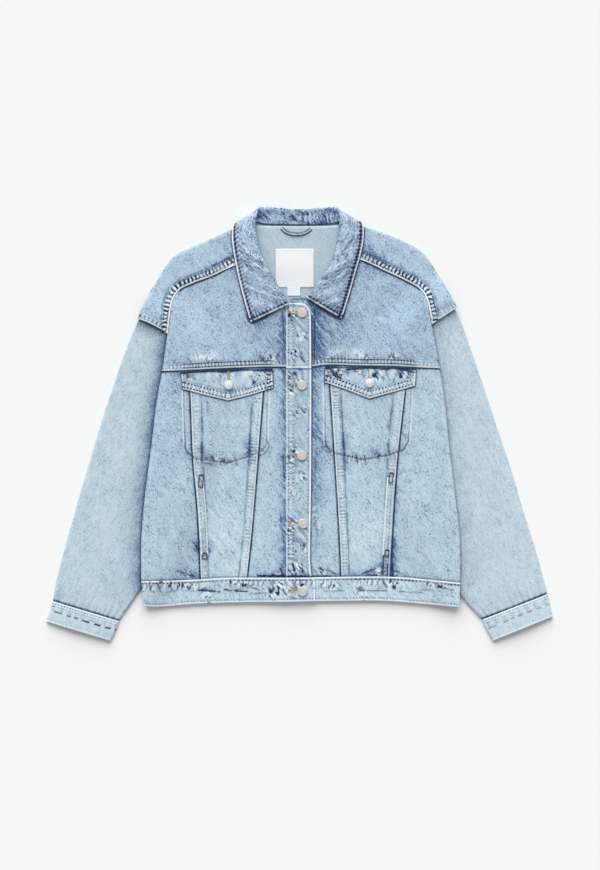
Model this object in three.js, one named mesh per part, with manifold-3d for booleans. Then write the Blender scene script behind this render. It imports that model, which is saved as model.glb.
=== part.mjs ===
// Denim jacket laid flat on a surface, front up, with its sleeves beside and partly under the body.
// Millimetres, +Z up. X runs across the jacket and +Y towards the collar.
// Left and right are the wearer's, so the wearer's right side is at -X.
import * as THREE from 'three';
import { mergeVertices } from 'three/addons/utils/BufferGeometryUtils.js';
import Module from 'manifold-3d';

const wasm = await Module();
wasm.setup();

// Driving dimensions
const HALF_SPAN = 405.6;        // over the cuffs
const HALF_LENGTH = 347.2;      // from the collar's roll to the lower cuff corners
const CLOTH = 1.6;              // one wall of denim with its seams
const BAG_CLOTH = 1.0;
const DOUBLED = 2.4;            // waistband, two plies
const PLACKET_WALL = 2.0;
const LABEL = 1.0;
const SEAM = 0.3;               // between pieces that meet at a seam
const LAY = 0.4;                // between pieces that lie on each other
const BODY_LOFT = 2.2;          // how much further the front stands off the back away from its sides
const LOFT_REACH = 60;          // from the side edge to the full loft
const SLEEVE_TOP = 8.2;
const SLEEVE_WALL = 2.3;
const CUFF_TOP = 8.8;
const CUFF_WALL = 2.9;
const FOLD_EDGE = 5.4;          // height of a flattened tube at its folded sides
const COLLAR_WALL = 2.0;
const UNDER_COLLAR = 2.7;       // how far the back yoke is lifted by the collar's back fall
const OVER_SLEEVE = SLEEVE_TOP + 0.8;
const SLEEVE_MARGIN = 9;        // flat on top of the sleeve this far past its edge
const LIFT_RAMP = 52;
const LAP_RAMP = [75, 21];      // the right front climbs to the placket's level between these distances
const LAP_RISE = CLOTH + LAY;
const BAND_LAP_RISE = DOUBLED + LAY;
const BUTTON_DIAMETER = 17;
const FLAP_BUTTON_DIAMETER = 16;

const COLOURS = {
  denim: '#aac1d2',
  sleeve: '#bdccd9',
  inside: '#9fb4c3',
  collar: '#9db5c9',
  label: '#ececec',
  button: '#cdd2d0',
  flapButton: '#dfe2e6',
};

// Outlines seen from above. Each is a short run of points on a smooth edge.
const EDGE = {
  bodyRight: [[-211, 144], [-220, 82], [-228, 38], [-237, -37], [-247, -115], [-253, -190], [-253, -246]],
  bodyLeft: [[212, 160], [226, 78], [233, 30], [240, -38], [249, -115], [257, -191], [257, -250]],
  shoulderRight: [[-76, 316.5], [-110, 310], [-136, 299], [-175, 282], [-197, 271], [-211, 257], [-226, 233],
    [-242, 206], [-260, 169]],
  shoulderLeft: [[72, 318], [103, 315], [132, 306], [166, 293], [195, 276], [206, 264], [222, 239],
    [238, 212], [252, 186]],
  armholeRight: [[-260, 169], [-244, 163], [-226, 154], [-211, 144]],
  armholeLeft: [[252, 186], [233, 174], [212, 160]],
  yokeSeamRight: [[-92, 263], [-136, 239], [-170, 226], [-192, 215], [-203, 198], [-208, 170], [-211, 144]],
  yokeSeamLeft: [[84, 271], [132, 248], [166, 232], [192, 217], [202, 204], [208, 182], [212, 160]],
  necklineRight: [[-21, 193], [-34, 212], [-48, 232], [-62, 256], [-72, 280], [-76, 300], [-76, 316.5]],
  necklineLeft: [[13, 201], [28, 214], [42, 232], [55, 254], [65, 278], [70, 298], [72, 318]],
  chestSeam: [[-260, 84], [-188, 86], [-114, 90], [-47, 92], [17, 92], [39, 95], [97, 94], [154, 93],
    [186, 91], [260, 88]],
  waistSeam: [[-262, -252], [-174, -250], [-125, -247], [-60, -246.5], [22, -246], [71, -245], [146, -245],
    [202, -249], [264, -255]],
  hem: [[-262, -288], [-246, -291], [-223, -292], [-174, -288], [-108, -285.5], [-27, -284.5], [22, -283.5],
    [71, -283], [137, -283], [202, -288], [254, -292.5], [266, -292]],
  taperOuterRight: [[-177, 95], [-174, 50], [-170, -49], [-162, -144], [-157, -256]],
  taperInnerRight: [[-56, 95], [-59, 52], [-67, -51], [-77, -171], [-86, -256]],
  taperInnerLeft: [[47, 98], [50, 58], [57, -51], [65, -184], [68, -256]],
  taperOuterLeft: [[171, 98], [168, 55], [155, -65], [147, -184], [143, -258]],
  backTaperRight: [[-140, 152], [-122, -256]],
  backTaperLeft: [[140, 152], [122, -256]],
};
const PLACKET = { inner: -21, edge: 18, top: 193, bandEnd: 24 };
const LEFT_FRONT_EDGE = -14;
const BACK_YOKE_SEAM = 150;

// Sleeves from armhole to cuff. Columns: outer fold x, y; inner fold x, y, hidden under the body.
const SLEEVE_RIGHT = [
  [-253, 178, -176, 128], [-267, 145, -163, 92], [-276, 124, -159, 54], [-295, 70, -163, 4],
  [-316, 6, -172, -44], [-337, -63, -186, -102], [-358, -136, -204, -166], [-377, -203, -229, -226],
  [-389, -251, -258, -270], [-395, -283, -289, -315],
];
const SLEEVE_LEFT = [
  [244, 194, 177, 142], [260, 160, 164, 104], [273, 122, 160, 60], [295, 58, 165, 4],
  [316, -6, 174, -48], [338, -72, 187, -104], [359, -143, 205, -168], [377, -200, 230, -230],
  [390, -247, 262, -280], [396.5, -272, 292, -313],
];
// Cuffs from the sleeve seam to the bottom edge, same columns.
const CUFF_RIGHT = [
  [-395.1, -283.5, -289, -315.5], [-400, -300, -294, -331], [-HALF_SPAN, -316, -302, -HALF_LENGTH],
];
const CUFF_LEFT = [
  [396.6, -272.5, 292, -313.5], [401, -290, 299, -329], [HALF_SPAN, -308, 309, -HALF_LENGTH],
];

// Largest folds in the cloth. Columns: from x, y; to x, y; width; height, down where negative.
const FOLDS = [
  [-300, 60, -352, -120, 26, -1.0],
  [-352, -150, -392, -270, 22, -1.2],
  [-318, -60, -268, -150, 24, -0.9],
  [300, 40, 350, -130, 26, -1.0],
  [352, -150, 384, -260, 22, -1.2],
  [268, -90, 330, -170, 24, -0.9],
  [-205, 20, -225, -150, 30, 0.8],
  [205, 10, 222, -160, 30, 0.8],
  [-110, -90, -120, -230, 34, 0.8],
  [105, -80, 112, -225, 34, 0.8],
  [-40, 40, -46, -120, 20, 0.6],
  [36, 30, 34, -140, 18, 0.6],
];

// Plane helpers
const clamp = (value, low, high) => Math.min(high, Math.max(low, value));
const smoothstep = (t) => {
  const c = clamp(t, 0, 1);
  return c * c * (3 - 2 * c);
};
const mix = (a, b, t) => a + (b - a) * t;

function smooth(points, pieces = 2) {
  const knots = points.map(([x, y]) => new THREE.Vector3(x, y, 0));
  const curve = new THREE.CatmullRomCurve3(knots, false, 'centripetal');
  return curve.getPoints((points.length - 1) * pieces).map((p) => [p.x, p.y]);
}

function toSegment(x, y, [ax, ay], [bx, by]) {
  const dx = bx - ax;
  const dy = by - ay;
  const t = clamp(((x - ax) * dx + (y - ay) * dy) / (dx * dx + dy * dy), 0, 1);
  return Math.hypot(x - ax - t * dx, y - ay - t * dy);
}

function toLine(x, y, points) {
  let nearest = Infinity;
  for (let i = 1; i < points.length; i++) {
    nearest = Math.min(nearest, toSegment(x, y, points[i - 1], points[i]));
  }
  return nearest;
}

function inside(x, y, ring) {
  let odd = false;
  for (let i = 0, j = ring.length - 1; i < ring.length; j = i++) {
    const [ax, ay] = ring[i];
    const [bx, by] = ring[j];
    if ((ay > y) !== (by > y) && x < ((bx - ax) * (y - ay)) / (by - ay) + ax) odd = !odd;
  }
  return odd;
}

const outsideBy = (x, y, ring) => (inside(x, y, ring) ? 0 : toLine(x, y, [...ring, ring[0]]));

// A run of an edge between two heights, for pieces that share a long seam.
function between(points, axis, low, high) {
  const cut = (a, b, at) => {
    const t = (at - a[axis]) / (b[axis] - a[axis]);
    return [mix(a[0], b[0], t), mix(a[1], b[1], t)];
  };
  const run = [];
  for (let i = 1; i < points.length; i++) {
    const a = points[i - 1];
    const b = points[i];
    for (const at of a[axis] < b[axis] ? [low, high] : [high, low]) {
      if ((a[axis] - at) * (b[axis] - at) < 0) run.push(cut(a, b, at));
    }
    if (b[axis] >= low && b[axis] <= high) run.push(b);
  }
  if (points[0][axis] >= low && points[0][axis] <= high) run.unshift(points[0]);
  return run;
}

function signedArea(ring) {
  let sum = 0;
  for (let i = 0, j = ring.length - 1; i < ring.length; j = i++) {
    sum += ring[j][0] * ring[i][1] - ring[i][0] * ring[j][1];
  }
  return sum / 2;
}

// Moves every side of a closed outline inwards by the same distance.
function inset(outline, distance) {
  const apart = (a, b) => Math.hypot(a[0] - b[0], a[1] - b[1]) > 0.05;
  const ring = outline.filter((p, i) => apart(p, outline[(i + outline.length - 1) % outline.length]));
  if (signedArea(ring) < 0) ring.reverse();
  const count = ring.length;
  const normal = (a, b) => {
    const length = Math.hypot(b[0] - a[0], b[1] - a[1]);
    return [-(b[1] - a[1]) / length, (b[0] - a[0]) / length];
  };
  return ring.map((p, i) => {
    const [ax, ay] = normal(ring[(i + count - 1) % count], p);
    const [bx, by] = normal(p, ring[(i + 1) % count]);
    const spread = Math.max(1 + ax * bx + ay * by, 0.35);
    return [p[0] + ((ax + bx) * distance) / spread, p[1] + ((ay + by) * distance) / spread];
  });
}

// Solids
function asSolid(geometry) {
  geometry.deleteAttribute('normal');
  geometry.deleteAttribute('uv');
  const merged = mergeVertices(geometry, 1e-4);
  const vertProperties = new Float32Array(merged.attributes.position.array);
  const triVerts = new Uint32Array(merged.index.array);
  return new wasm.Manifold(new wasm.Mesh({ numProp: 3, vertProperties, triVerts }));
}

function asGeometry(solid) {
  const mesh = solid.getMesh();
  const geometry = new THREE.BufferGeometry();
  geometry.setAttribute('position', new THREE.BufferAttribute(new Float32Array(mesh.vertProperties), 3));
  geometry.setIndex(new THREE.BufferAttribute(new Uint32Array(mesh.triVerts), 1));
  return geometry;
}

function prism(outline, low = -5, high = 45) {
  const shape = new THREE.Shape(outline.map(([x, y]) => new THREE.Vector2(x, y)));
  const geometry = new THREE.ExtrudeGeometry(shape, { depth: high - low, bevelEnabled: false });
  geometry.translate(0, 0, low);
  return asSolid(geometry);
}

// A mesh from rows of points, each row a closed ring. An open run of rings leaves its two ends to be capped.
function ringTube(rings, open) {
  const count = rings[0].length;
  const index = [];
  const steps = open ? rings.length - 1 : rings.length;
  for (let row = 0; row < steps; row++) {
    for (let i = 0; i < count; i++) {
      const a = row * count + i;
      const b = row * count + ((i + 1) % count);
      const c = ((row + 1) % rings.length) * count + i;
      const d = ((row + 1) % rings.length) * count + ((i + 1) % count);
      index.push(a, b, d, a, d, c);
    }
  }
  const geometry = new THREE.BufferGeometry();
  geometry.setAttribute('position', new THREE.Float32BufferAttribute(rings.flat(2), 3));
  geometry.setIndex(index);
  return geometry;
}

// Turns a closed mesh's faces outwards where its rings ran the other way.
function facingOut(geometry) {
  const solid = asSolid(geometry);
  if (solid.volume() > 0) return asGeometry(solid);
  const index = geometry.index.array;
  for (let i = 0; i < index.length; i += 3) [index[i], index[i + 1]] = [index[i + 1], index[i]];
  return asGeometry(asSolid(geometry));
}

// Grid lines of the cloth: every layer has its heights at the same points, so layers never cross.
const GRID_X = [-272, -250, -228, -206, -182, -158, -132, -104, -75, -48, -21, 21, 48, 75, 104, 132, 158, 182,
  206, 228, 250, 272];
const GRID_Y = [-300, -250, -200, -150, -100, -50, 0, 45, 88, 120, 150, 180, 210, 240, 270, 300, 330];

function layer(bottom, top, xs = GRID_X, ys = GRID_Y) {
  const position = [];
  const columns = xs.length;
  const side = columns * ys.length;
  for (const height of [bottom, top]) {
    for (const y of ys) {
      for (const x of xs) position.push(x, y, height(x, y));
    }
  }
  const index = [];
  const quad = (a, b, c, d) => index.push(a, b, c, a, c, d);
  for (let row = 0; row < ys.length - 1; row++) {
    for (let column = 0; column < columns - 1; column++) {
      const a = row * columns + column;
      index.push(a, a + columns + 1, a + 1, a, a + columns, a + columns + 1);
      quad(side + a, side + a + 1, side + a + columns + 1, side + a + columns);
    }
  }
  for (let column = 0; column < columns - 1; column++) {
    const last = (ys.length - 1) * columns + column;
    quad(column, column + 1, side + column + 1, side + column);
    quad(last + 1, last, side + last, side + last + 1);
  }
  for (let row = 0; row < ys.length - 1; row++) {
    const left = row * columns;
    const right = left + columns - 1;
    quad(left + columns, left, side + left, side + left + columns);
    quad(right, right + columns, side + right + columns, side + right);
  }
  const geometry = new THREE.BufferGeometry();
  geometry.setAttribute('position', new THREE.Float32BufferAttribute(position, 3));
  geometry.setIndex(index);
  return asSolid(geometry);
}

// Height of the surface that the back lies on: the floor, a sleeve or the collar's back fall.
const sleevePlan = (rows) => [
  ...rows.map(([ax, ay]) => [ax, ay]),
  ...rows.map(([, , bx, by]) => [bx, by]).reverse(),
];
const SLEEVE_PLANS = [sleevePlan(SLEEVE_RIGHT), sleevePlan(SLEEVE_LEFT)];
const FALL_PLAN = [[-112, 322], [-108, 300], [-94, 276], [-60, 266], [0, 262], [60, 266], [90, 276], [106, 300],
  [110, 324]];

function under(x, y) {
  const past = SLEEVE_PLANS.map((plan) => outsideBy(x, y, plan) - SLEEVE_MARGIN);
  const rises = past.map((distance) => smoothstep(1 - distance / LIFT_RAMP));
  const overSleeve = Math.max(...rises);
  const overFall = smoothstep(1 - (outsideBy(x, y, FALL_PLAN) - 3) / LIFT_RAMP);
  return Math.max(OVER_SLEEVE * overSleeve, UNDER_COLLAR * overFall);
}

function folds(x, y) {
  let height = 0;
  for (const [ax, ay, bx, by, width, rise] of FOLDS) {
    const away = toSegment(x, y, [ax, ay], [bx, by]) / width;
    height += rise * Math.exp(-away * away * 2);
  }
  return height;
}

const SIDES = [
  [...smooth(EDGE.shoulderRight, 1), ...EDGE.bodyRight, [-243, -300]],
  [...smooth(EDGE.shoulderLeft, 1), ...EDGE.bodyLeft, [255, -300]],
];
const fromSides = (x, y) => Math.min(...SIDES.map((edge) => toLine(x, y, edge)));
const standOff = (x, y) => LAY + BODY_LOFT * smoothstep(fromSides(x, y) / LOFT_REACH);
const lap = (x) => smoothstep((LAP_RAMP[0] + x) / (LAP_RAMP[0] - LAP_RAMP[1]));
const back = (x, y) => under(x, y);
const backTop = (x, y) => back(x, y) + CLOTH;
const front = (x, y) => backTop(x, y) + standOff(x, y) + Math.max(0, folds(x, y));
const frontTop = (x, y) => front(x, y) + CLOTH;
const lapped = (rise) => (x, y) => front(x, y) + rise * (x < 0 ? lap(x) : 1);
const raised = (height, lift) => (x, y) => height(x, y) + lift;
const rightFront = lapped(LAP_RISE);
const rightTop = raised(rightFront, CLOTH);
const rightBand = lapped(BAND_LAP_RISE);

const LAYERS = {
  back: layer(back, backTop),
  leftFront: layer(front, frontTop),
  rightFront: layer(rightFront, rightTop),
  leftBand: layer(front, raised(front, DOUBLED)),
  rightBand: layer(rightBand, raised(rightBand, DOUBLED)),
};

const model = new THREE.Group();
const finish = {
  denim: new THREE.MeshStandardMaterial({ color: COLOURS.denim, roughness: 0.9, metalness: 0 }),
  sleeve: new THREE.MeshStandardMaterial({ color: COLOURS.sleeve, roughness: 0.9, metalness: 0 }),
  inside: new THREE.MeshStandardMaterial({ color: COLOURS.inside, roughness: 0.92, metalness: 0 }),
  collar: new THREE.MeshStandardMaterial({ color: COLOURS.collar, roughness: 0.9, metalness: 0 }),
  label: new THREE.MeshStandardMaterial({ color: COLOURS.label, roughness: 0.7, metalness: 0 }),
  button: new THREE.MeshStandardMaterial({ color: COLOURS.button, roughness: 0.45, metalness: 0.8 }),
  flapButton: new THREE.MeshStandardMaterial({ color: COLOURS.flapButton, roughness: 0.3, metalness: 0.9 }),
};

function add(name, geometry, material) {
  geometry.computeVertexNormals();
  const mesh = new THREE.Mesh(geometry, material.clone());
  mesh.name = name;
  model.add(mesh);
  return mesh;
}

const panel = (name, sheet, outline, material = finish.denim) =>
  add(name, asGeometry(sheet.intersect(prism(inset(outline, SEAM / 2)))), material);

const reversed = (points) => [...points].reverse();
const CURVE = Object.fromEntries(Object.entries(EDGE).map(([name, points]) => [name, smooth(points)]));

// Where two edges cross, so that panels share their corners.
function crossing(first, second) {
  for (let i = 1; i < first.length; i++) {
    for (let j = 1; j < second.length; j++) {
      const [ax, ay] = first[i - 1];
      const [cx, cy] = second[j - 1];
      const [ux, uy] = [first[i][0] - ax, first[i][1] - ay];
      const [vx, vy] = [second[j][0] - cx, second[j][1] - cy];
      const cross = ux * vy - uy * vx;
      const t = ((cx - ax) * vy - (cy - ay) * vx) / cross;
      const s = ((cx - ax) * uy - (cy - ay) * ux) / cross;
      if (t >= 0 && t <= 1 && s >= 0 && s <= 1) return [ax + t * ux, ay + t * uy];
    }
  }
  throw new Error('edges do not cross');
}

const meet = (a, b) => crossing(CURVE[a], CURVE[b]);

// A panel between two upright edges and two level ones.
function quadPanel(left, right, top, bottom) {
  const corners = {
    topLeft: meet(left, top),
    topRight: meet(right, top),
    bottomRight: meet(right, bottom),
    bottomLeft: meet(left, bottom),
  };
  const level = (name, a, b) => between(CURVE[name], 0, a[0] + 1, b[0] - 1);
  const upright = (name, low, high) => between(CURVE[name], 1, low[1] + 1, high[1] - 1);
  const down = (run) => (run[0][1] < run[run.length - 1][1] ? reversed(run) : run);
  return [
    corners.topLeft, ...level(top, corners.topLeft, corners.topRight), corners.topRight,
    ...down(upright(right, corners.bottomRight, corners.topRight)), corners.bottomRight,
    ...reversed(level(bottom, corners.bottomLeft, corners.bottomRight)), corners.bottomLeft,
    ...reversed(down(upright(left, corners.bottomLeft, corners.topLeft))),
  ];
}

// The back lies face down: yoke, three panels and a waistband.
CURVE.backYokeSeam = [[-270, BACK_YOKE_SEAM], [270, BACK_YOKE_SEAM]];
CURVE.placketInner = [[PLACKET.inner, 220], [PLACKET.inner, -320]];
CURVE.leftFrontEdge = [[LEFT_FRONT_EDGE, 240], [LEFT_FRONT_EDGE, -320]];
CURVE.sideRight = [...CURVE.armholeRight, ...CURVE.bodyRight.slice(1), [-248, -300]];
CURVE.sideLeft = [...CURVE.armholeLeft, ...CURVE.bodyLeft.slice(1), [254.5, -302]];

function makeBack() {
  const backPanel = (name, from, to) => {
    panel(name, LAYERS.back, quadPanel(from, to, 'backYokeSeam', 'waistSeam'));
  };
  backPanel('back_side_panel_right', 'sideRight', 'backTaperRight');
  backPanel('back_center_panel', 'backTaperRight', 'backTaperLeft');
  backPanel('back_side_panel_left', 'backTaperLeft', 'sideLeft');
  panel('waistband_back', LAYERS.back, quadPanel('sideRight', 'sideLeft', 'waistSeam', 'hem'));
}

// The yoke: the back yoke and, over each shoulder, its front strip, joined by the folded shoulder edge.
function makeYoke() {
  const neckBack = [[-66, 317.6], [-40, 317.2], [0, 317], [40, 317.4], [62, 318.4]];
  const arm = (side) => between(CURVE[side], 1, BACK_YOKE_SEAM, 300);
  const backOutline = [
    ...reversed(arm('sideLeft')), ...reversed(CURVE.shoulderLeft), ...reversed(neckBack),
    ...CURVE.shoulderRight, ...arm('sideRight').slice(1),
  ];
  const folded = layer(back, frontTop);
  let yoke = LAYERS.back.intersect(prism(inset(backOutline, SEAM / 2)));
  for (const [side, inwards] of [['Right', 1], ['Left', -1]]) {
    const shoulder = CURVE[`shoulder${side}`];
    const seam = CURVE[`yokeSeam${side}`];
    const neck = CURVE[`neckline${side}`].filter(([, y]) => y > seam[0][1]);
    const strip = [...shoulder, ...CURVE[`armhole${side}`].slice(1), ...reversed(seam), ...neck];
    yoke = yoke.add(LAYERS.leftFront.intersect(prism(inset(strip, SEAM / 2))));
    const shifted = (by) => shoulder.map(([x, y]) => [x + inwards * by, y - by]);
    yoke = yoke.add(folded.intersect(prism([...shifted(SEAM), ...reversed(shifted(SEAM + 1.8))])));
  }
  add('yoke', asGeometry(yoke), finish.denim);
}

// Fronts above the chest seam.
function makeChest() {
  for (const side of ['right', 'left']) {
    const Side = side === 'right' ? 'Right' : 'Left';
    const seam = CURVE[`yokeSeam${Side}`];
    const neck = CURVE[`neckline${Side}`].filter(([, y]) => y < seam[0][1] - 2);
    const edge = side === 'right' ? 'placketInner' : 'leftFrontEdge';
    const chest = meet('chestSeam', edge);
    const sideSeam = meet('chestSeam', `body${Side}`);
    const arm = between(CURVE[`body${Side}`], 1, sideSeam[1] + 1, seam.at(-1)[1] - 0.5);
    const armDown = arm[0][1] < arm.at(-1)[1] ? reversed(arm) : arm;
    const ends = [sideSeam[0], chest[0]];
    const bottom = between(CURVE.chestSeam, 0, Math.min(...ends) + 1, Math.max(...ends) - 1);
    const alongBottom = side === 'right' ? bottom : reversed(bottom);
    const top = side === 'right' ? [PLACKET.inner, PLACKET.top] : [LEFT_FRONT_EDGE, neck[0][1] - 8];
    const outline = [...seam, ...armDown, sideSeam, ...alongBottom, chest, top, ...neck];
    panel(`chest_panel_${side}`, LAYERS[`${side}Front`], outline);
  }
}

// Fronts below the chest seam, in three panels a side, and the waistbands.
function makeLowerFronts() {
  const rows = [
    ['side_panel_right', 'sideRight', 'taperOuterRight', 'rightFront'],
    ['pocket_panel_right', 'taperOuterRight', 'taperInnerRight', 'rightFront'],
    ['inner_panel_right', 'taperInnerRight', 'placketInner', 'rightFront'],
    ['inner_panel_left', 'leftFrontEdge', 'taperInnerLeft', 'leftFront'],
    ['pocket_panel_left', 'taperInnerLeft', 'taperOuterLeft', 'leftFront'],
    ['side_panel_left', 'taperOuterLeft', 'sideLeft', 'leftFront'],
  ];
  for (const [name, from, to, sheet] of rows) {
    panel(name, LAYERS[sheet], quadPanel(from, to, 'chestSeam', 'waistSeam'));
  }
  CURVE.bandEnd = [[PLACKET.bandEnd, -200], [PLACKET.bandEnd, -320]];
  panel('waistband_front_right', LAYERS.rightBand, quadPanel('sideRight', 'bandEnd', 'waistSeam', 'hem'));
  panel('waistband_front_left', LAYERS.leftBand, quadPanel('leftFrontEdge', 'sideLeft', 'waistSeam', 'hem'));
}

// The placket is a strip of two plies that laps over the left front, with a rounded top corner.
function makePlacket() {
  const waist = between(CURVE.waistSeam, 0, PLACKET.inner, PLACKET.edge);
  const outline = [
    [PLACKET.inner, PLACKET.top], [9, PLACKET.top - 2], [14, PLACKET.top - 6], [17, PLACKET.top - 12],
    [PLACKET.edge, PLACKET.top - 22], ...reversed(waist),
  ];
  panel('placket', layer(rightFront, raised(rightFront, PLACKET_WALL)), outline);
}

// Chest pockets: a bag between front and back, and a flap on the front.
const POCKETS = [
  {
    side: 'right',
    bag: [[-186, 70], [-184, 10], [-182, -42], [-168, -55], [-114, -62], [-80, -52], [-60, -46], [-53, -36],
      [-50, 70]],
    flap: [[-189, 83.5], [-186, 56], [-114, 38], [-43, 58], [-44, 88.5]],
  },
  {
    side: 'left',
    bag: [[40, 70], [41, 10], [42, -36], [57, -47], [102, -57], [142, -50], [164, -42], [174, -28],
      [180, 70]],
    flap: [[42, 92.5], [41, 67], [112, 41], [184, 61], [186, 89.5]],
  },
];

function makePockets() {
  const bagFloor = raised(backTop, LAY);
  const bagSheet = layer(bagFloor, raised(bagFloor, BAG_CLOTH));
  for (const { side, bag, flap } of POCKETS) {
    panel(`pocket_bag_${side}`, bagSheet, bag, finish.inside);
    const floor = raised(side === 'right' ? rightTop : frontTop, SEAM);
    panel(`pocket_flap_${side}`, layer(floor, raised(floor, CLOTH)), flap);
  }
}

// Welts of the hand pockets, a narrow strip along the outer tapered seam between its bar tacks.
const WELT = { width: 12, top: -86, bottom: -210, thickness: 1.2 };

function makeWelts() {
  for (const [side, toward] of [['right', 1], ['left', -1]]) {
    const Side = side === 'right' ? 'Right' : 'Left';
    const seam = between(CURVE[`taperOuter${Side}`], 1, WELT.bottom, WELT.top);
    const near = seam.map(([x, y]) => [x + toward, y]);
    const far = seam.map(([x, y]) => [x + toward * (1 + WELT.width), y]);
    const floor = raised(side === 'right' ? rightTop : frontTop, SEAM);
    const outline = [...near, ...reversed(far)];
    panel(`hand_pocket_welt_${side}`, layer(floor, raised(floor, WELT.thickness)), outline);
  }
}

// Sleeves and cuffs are flattened tubes that lie on the surface, with a domed upper wall.
function ringAt([ax, ay, bx, by], crown, wall, hollow) {
  const width = Math.hypot(bx - ax, by - ay);
  const round = 3 / width;
  const shares = [round, 0.12, 0.26, 0.42, 0.58, 0.74, 0.88, 1 - round];
  const edge = hollow ? wall / width : 0;
  const dome = (u) => FOLD_EDGE + (crown - FOLD_EDGE) * Math.sin(Math.PI * u) ** 0.7;
  const fold = (x, y) => Math.min(0, folds(x, y));
  const at = (u, z) => [mix(ax, bx, u), mix(ay, by, u), z];
  const top = shares.map((u) => {
    const share = edge + u * (1 - 2 * edge);
    const point = at(share, 0);
    const rise = dome(share) + fold(point[0], point[1]) * Math.sin(Math.PI * u);
    return [point[0], point[1], hollow ? Math.max(rise - wall, wall + 0.3) : rise];
  });
  const bottom = shares.map((u) => at(edge + u * (1 - 2 * edge), hollow ? wall : 0));
  const middle = hollow ? wall + 0.15 : FOLD_EDGE / 2;
  return [...bottom, at(1 - edge, middle), ...reversed(top), at(edge, middle)];
}

function flatTube(name, stations, crown, wall, material) {
  const outer = stations.map((row) => ringAt(row, crown, wall, false));
  const hollow = stations.map((row) => ringAt(row, crown, wall, true));
  add(name, facingOut(ringTube([...outer, ...reversed(hollow)], false)), material);
}

function makeSleeves() {
  flatTube('sleeve_right', SLEEVE_RIGHT, SLEEVE_TOP, SLEEVE_WALL, finish.sleeve);
  flatTube('sleeve_left', SLEEVE_LEFT, SLEEVE_TOP, SLEEVE_WALL, finish.sleeve);
  flatTube('cuff_right', CUFF_RIGHT, CUFF_TOP, CUFF_WALL, finish.sleeve);
  flatTube('cuff_left', CUFF_LEFT, CUFF_TOP, CUFF_WALL, finish.sleeve);
}

// The collar, station by station round the neck from the right front end to the left one.
// Columns: seam x, y; roll x, y; edge x, y; roll height; lies, which is 1 over the front, 0 at the shoulder
// fold and -1 behind.
const COLLAR_BACK = HALF_LENGTH - COLLAR_WALL / 2;
const COLLAR = [
  { seam: [-22, 191], roll: [-18, 191], edge: [-78, 163], rise: 5.5, lies: 1 },
  { seam: [-34, 208], roll: [-27, 208], edge: [-84, 183], rise: 7.5, lies: 1 },
  { seam: [-48, 229], roll: [-39, 227], edge: [-92, 212], rise: 8.5, lies: 1 },
  { seam: [-62, 253], roll: [-52, 251], edge: [-99, 242], rise: 9, lies: 1 },
  { seam: [-71, 278], roll: [-63, 276], edge: [-104, 268], rise: 9, lies: 1 },
  { seam: [-75, 298], roll: [-69, 299], edge: [-107, 288], rise: 9, lies: 1 },
  { seam: [-75.5, 310], roll: [-71, 317], edge: [-108, 303], rise: 8.5, lies: 1 },
  { seam: [-74, 321.5], roll: [-68, 338], edge: [-107, 313], rise: 6, lies: 1 },
  { seam: [-71, 323], roll: [-66, 344], edge: [-104, 319], rise: 4.5, lies: 0 },
  { seam: [-66, 322], roll: [-63, COLLAR_BACK], edge: [-96, 319], rise: 4.6, lies: -1 },
  { seam: [-56, 320], roll: [-52, COLLAR_BACK], edge: [-84, 297], rise: 5.6, lies: -1 },
  { seam: [-40, 319.2], roll: [-36, 345], edge: [-52, 277], rise: 6.4, lies: -1 },
  { seam: [-14, 318.6], roll: [-12, 342.6], edge: [-16, 269], rise: 6.6, lies: -1 },
  { seam: [14, 318.6], roll: [12, 342.8], edge: [16, 269], rise: 6.6, lies: -1 },
  { seam: [38, 319.4], roll: [36, 345], edge: [52, 277], rise: 6.4, lies: -1 },
  { seam: [52, 320.6], roll: [50, COLLAR_BACK], edge: [82, 298], rise: 5.6, lies: -1 },
  { seam: [61, 322.6], roll: [58, COLLAR_BACK], edge: [92, 319.5], rise: 4.6, lies: -1 },
  { seam: [67, 324], roll: [62, 343.5], edge: [99, 321], rise: 4.5, lies: 0 },
  { seam: [70, 322.5], roll: [64, 336], edge: [102, 315.5], rise: 6, lies: 1 },
  { seam: [71, 311], roll: [64, 316], edge: [102.5, 305], rise: 8.5, lies: 1 },
  { seam: [69, 297], roll: [62, 298], edge: [101, 288], rise: 9, lies: 1 },
  { seam: [64, 276], roll: [56.5, 273], edge: [96, 266], rise: 9, lies: 1 },
  { seam: [55, 252], roll: [46, 248], edge: [89, 242], rise: 9, lies: 1 },
  { seam: [41, 231], roll: [33, 229], edge: [81, 213], rise: 8.5, lies: 1 },
  { seam: [27, 213], roll: [21, 211], edge: [73, 186], rise: 7.5, lies: 1 },
  { seam: [14, 199], roll: [11, 202], edge: [67, 169], rise: 5.5, lies: 1 },
];
const FALL_SHARES = [0.22, 0.48, 0.74, 1];

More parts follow.
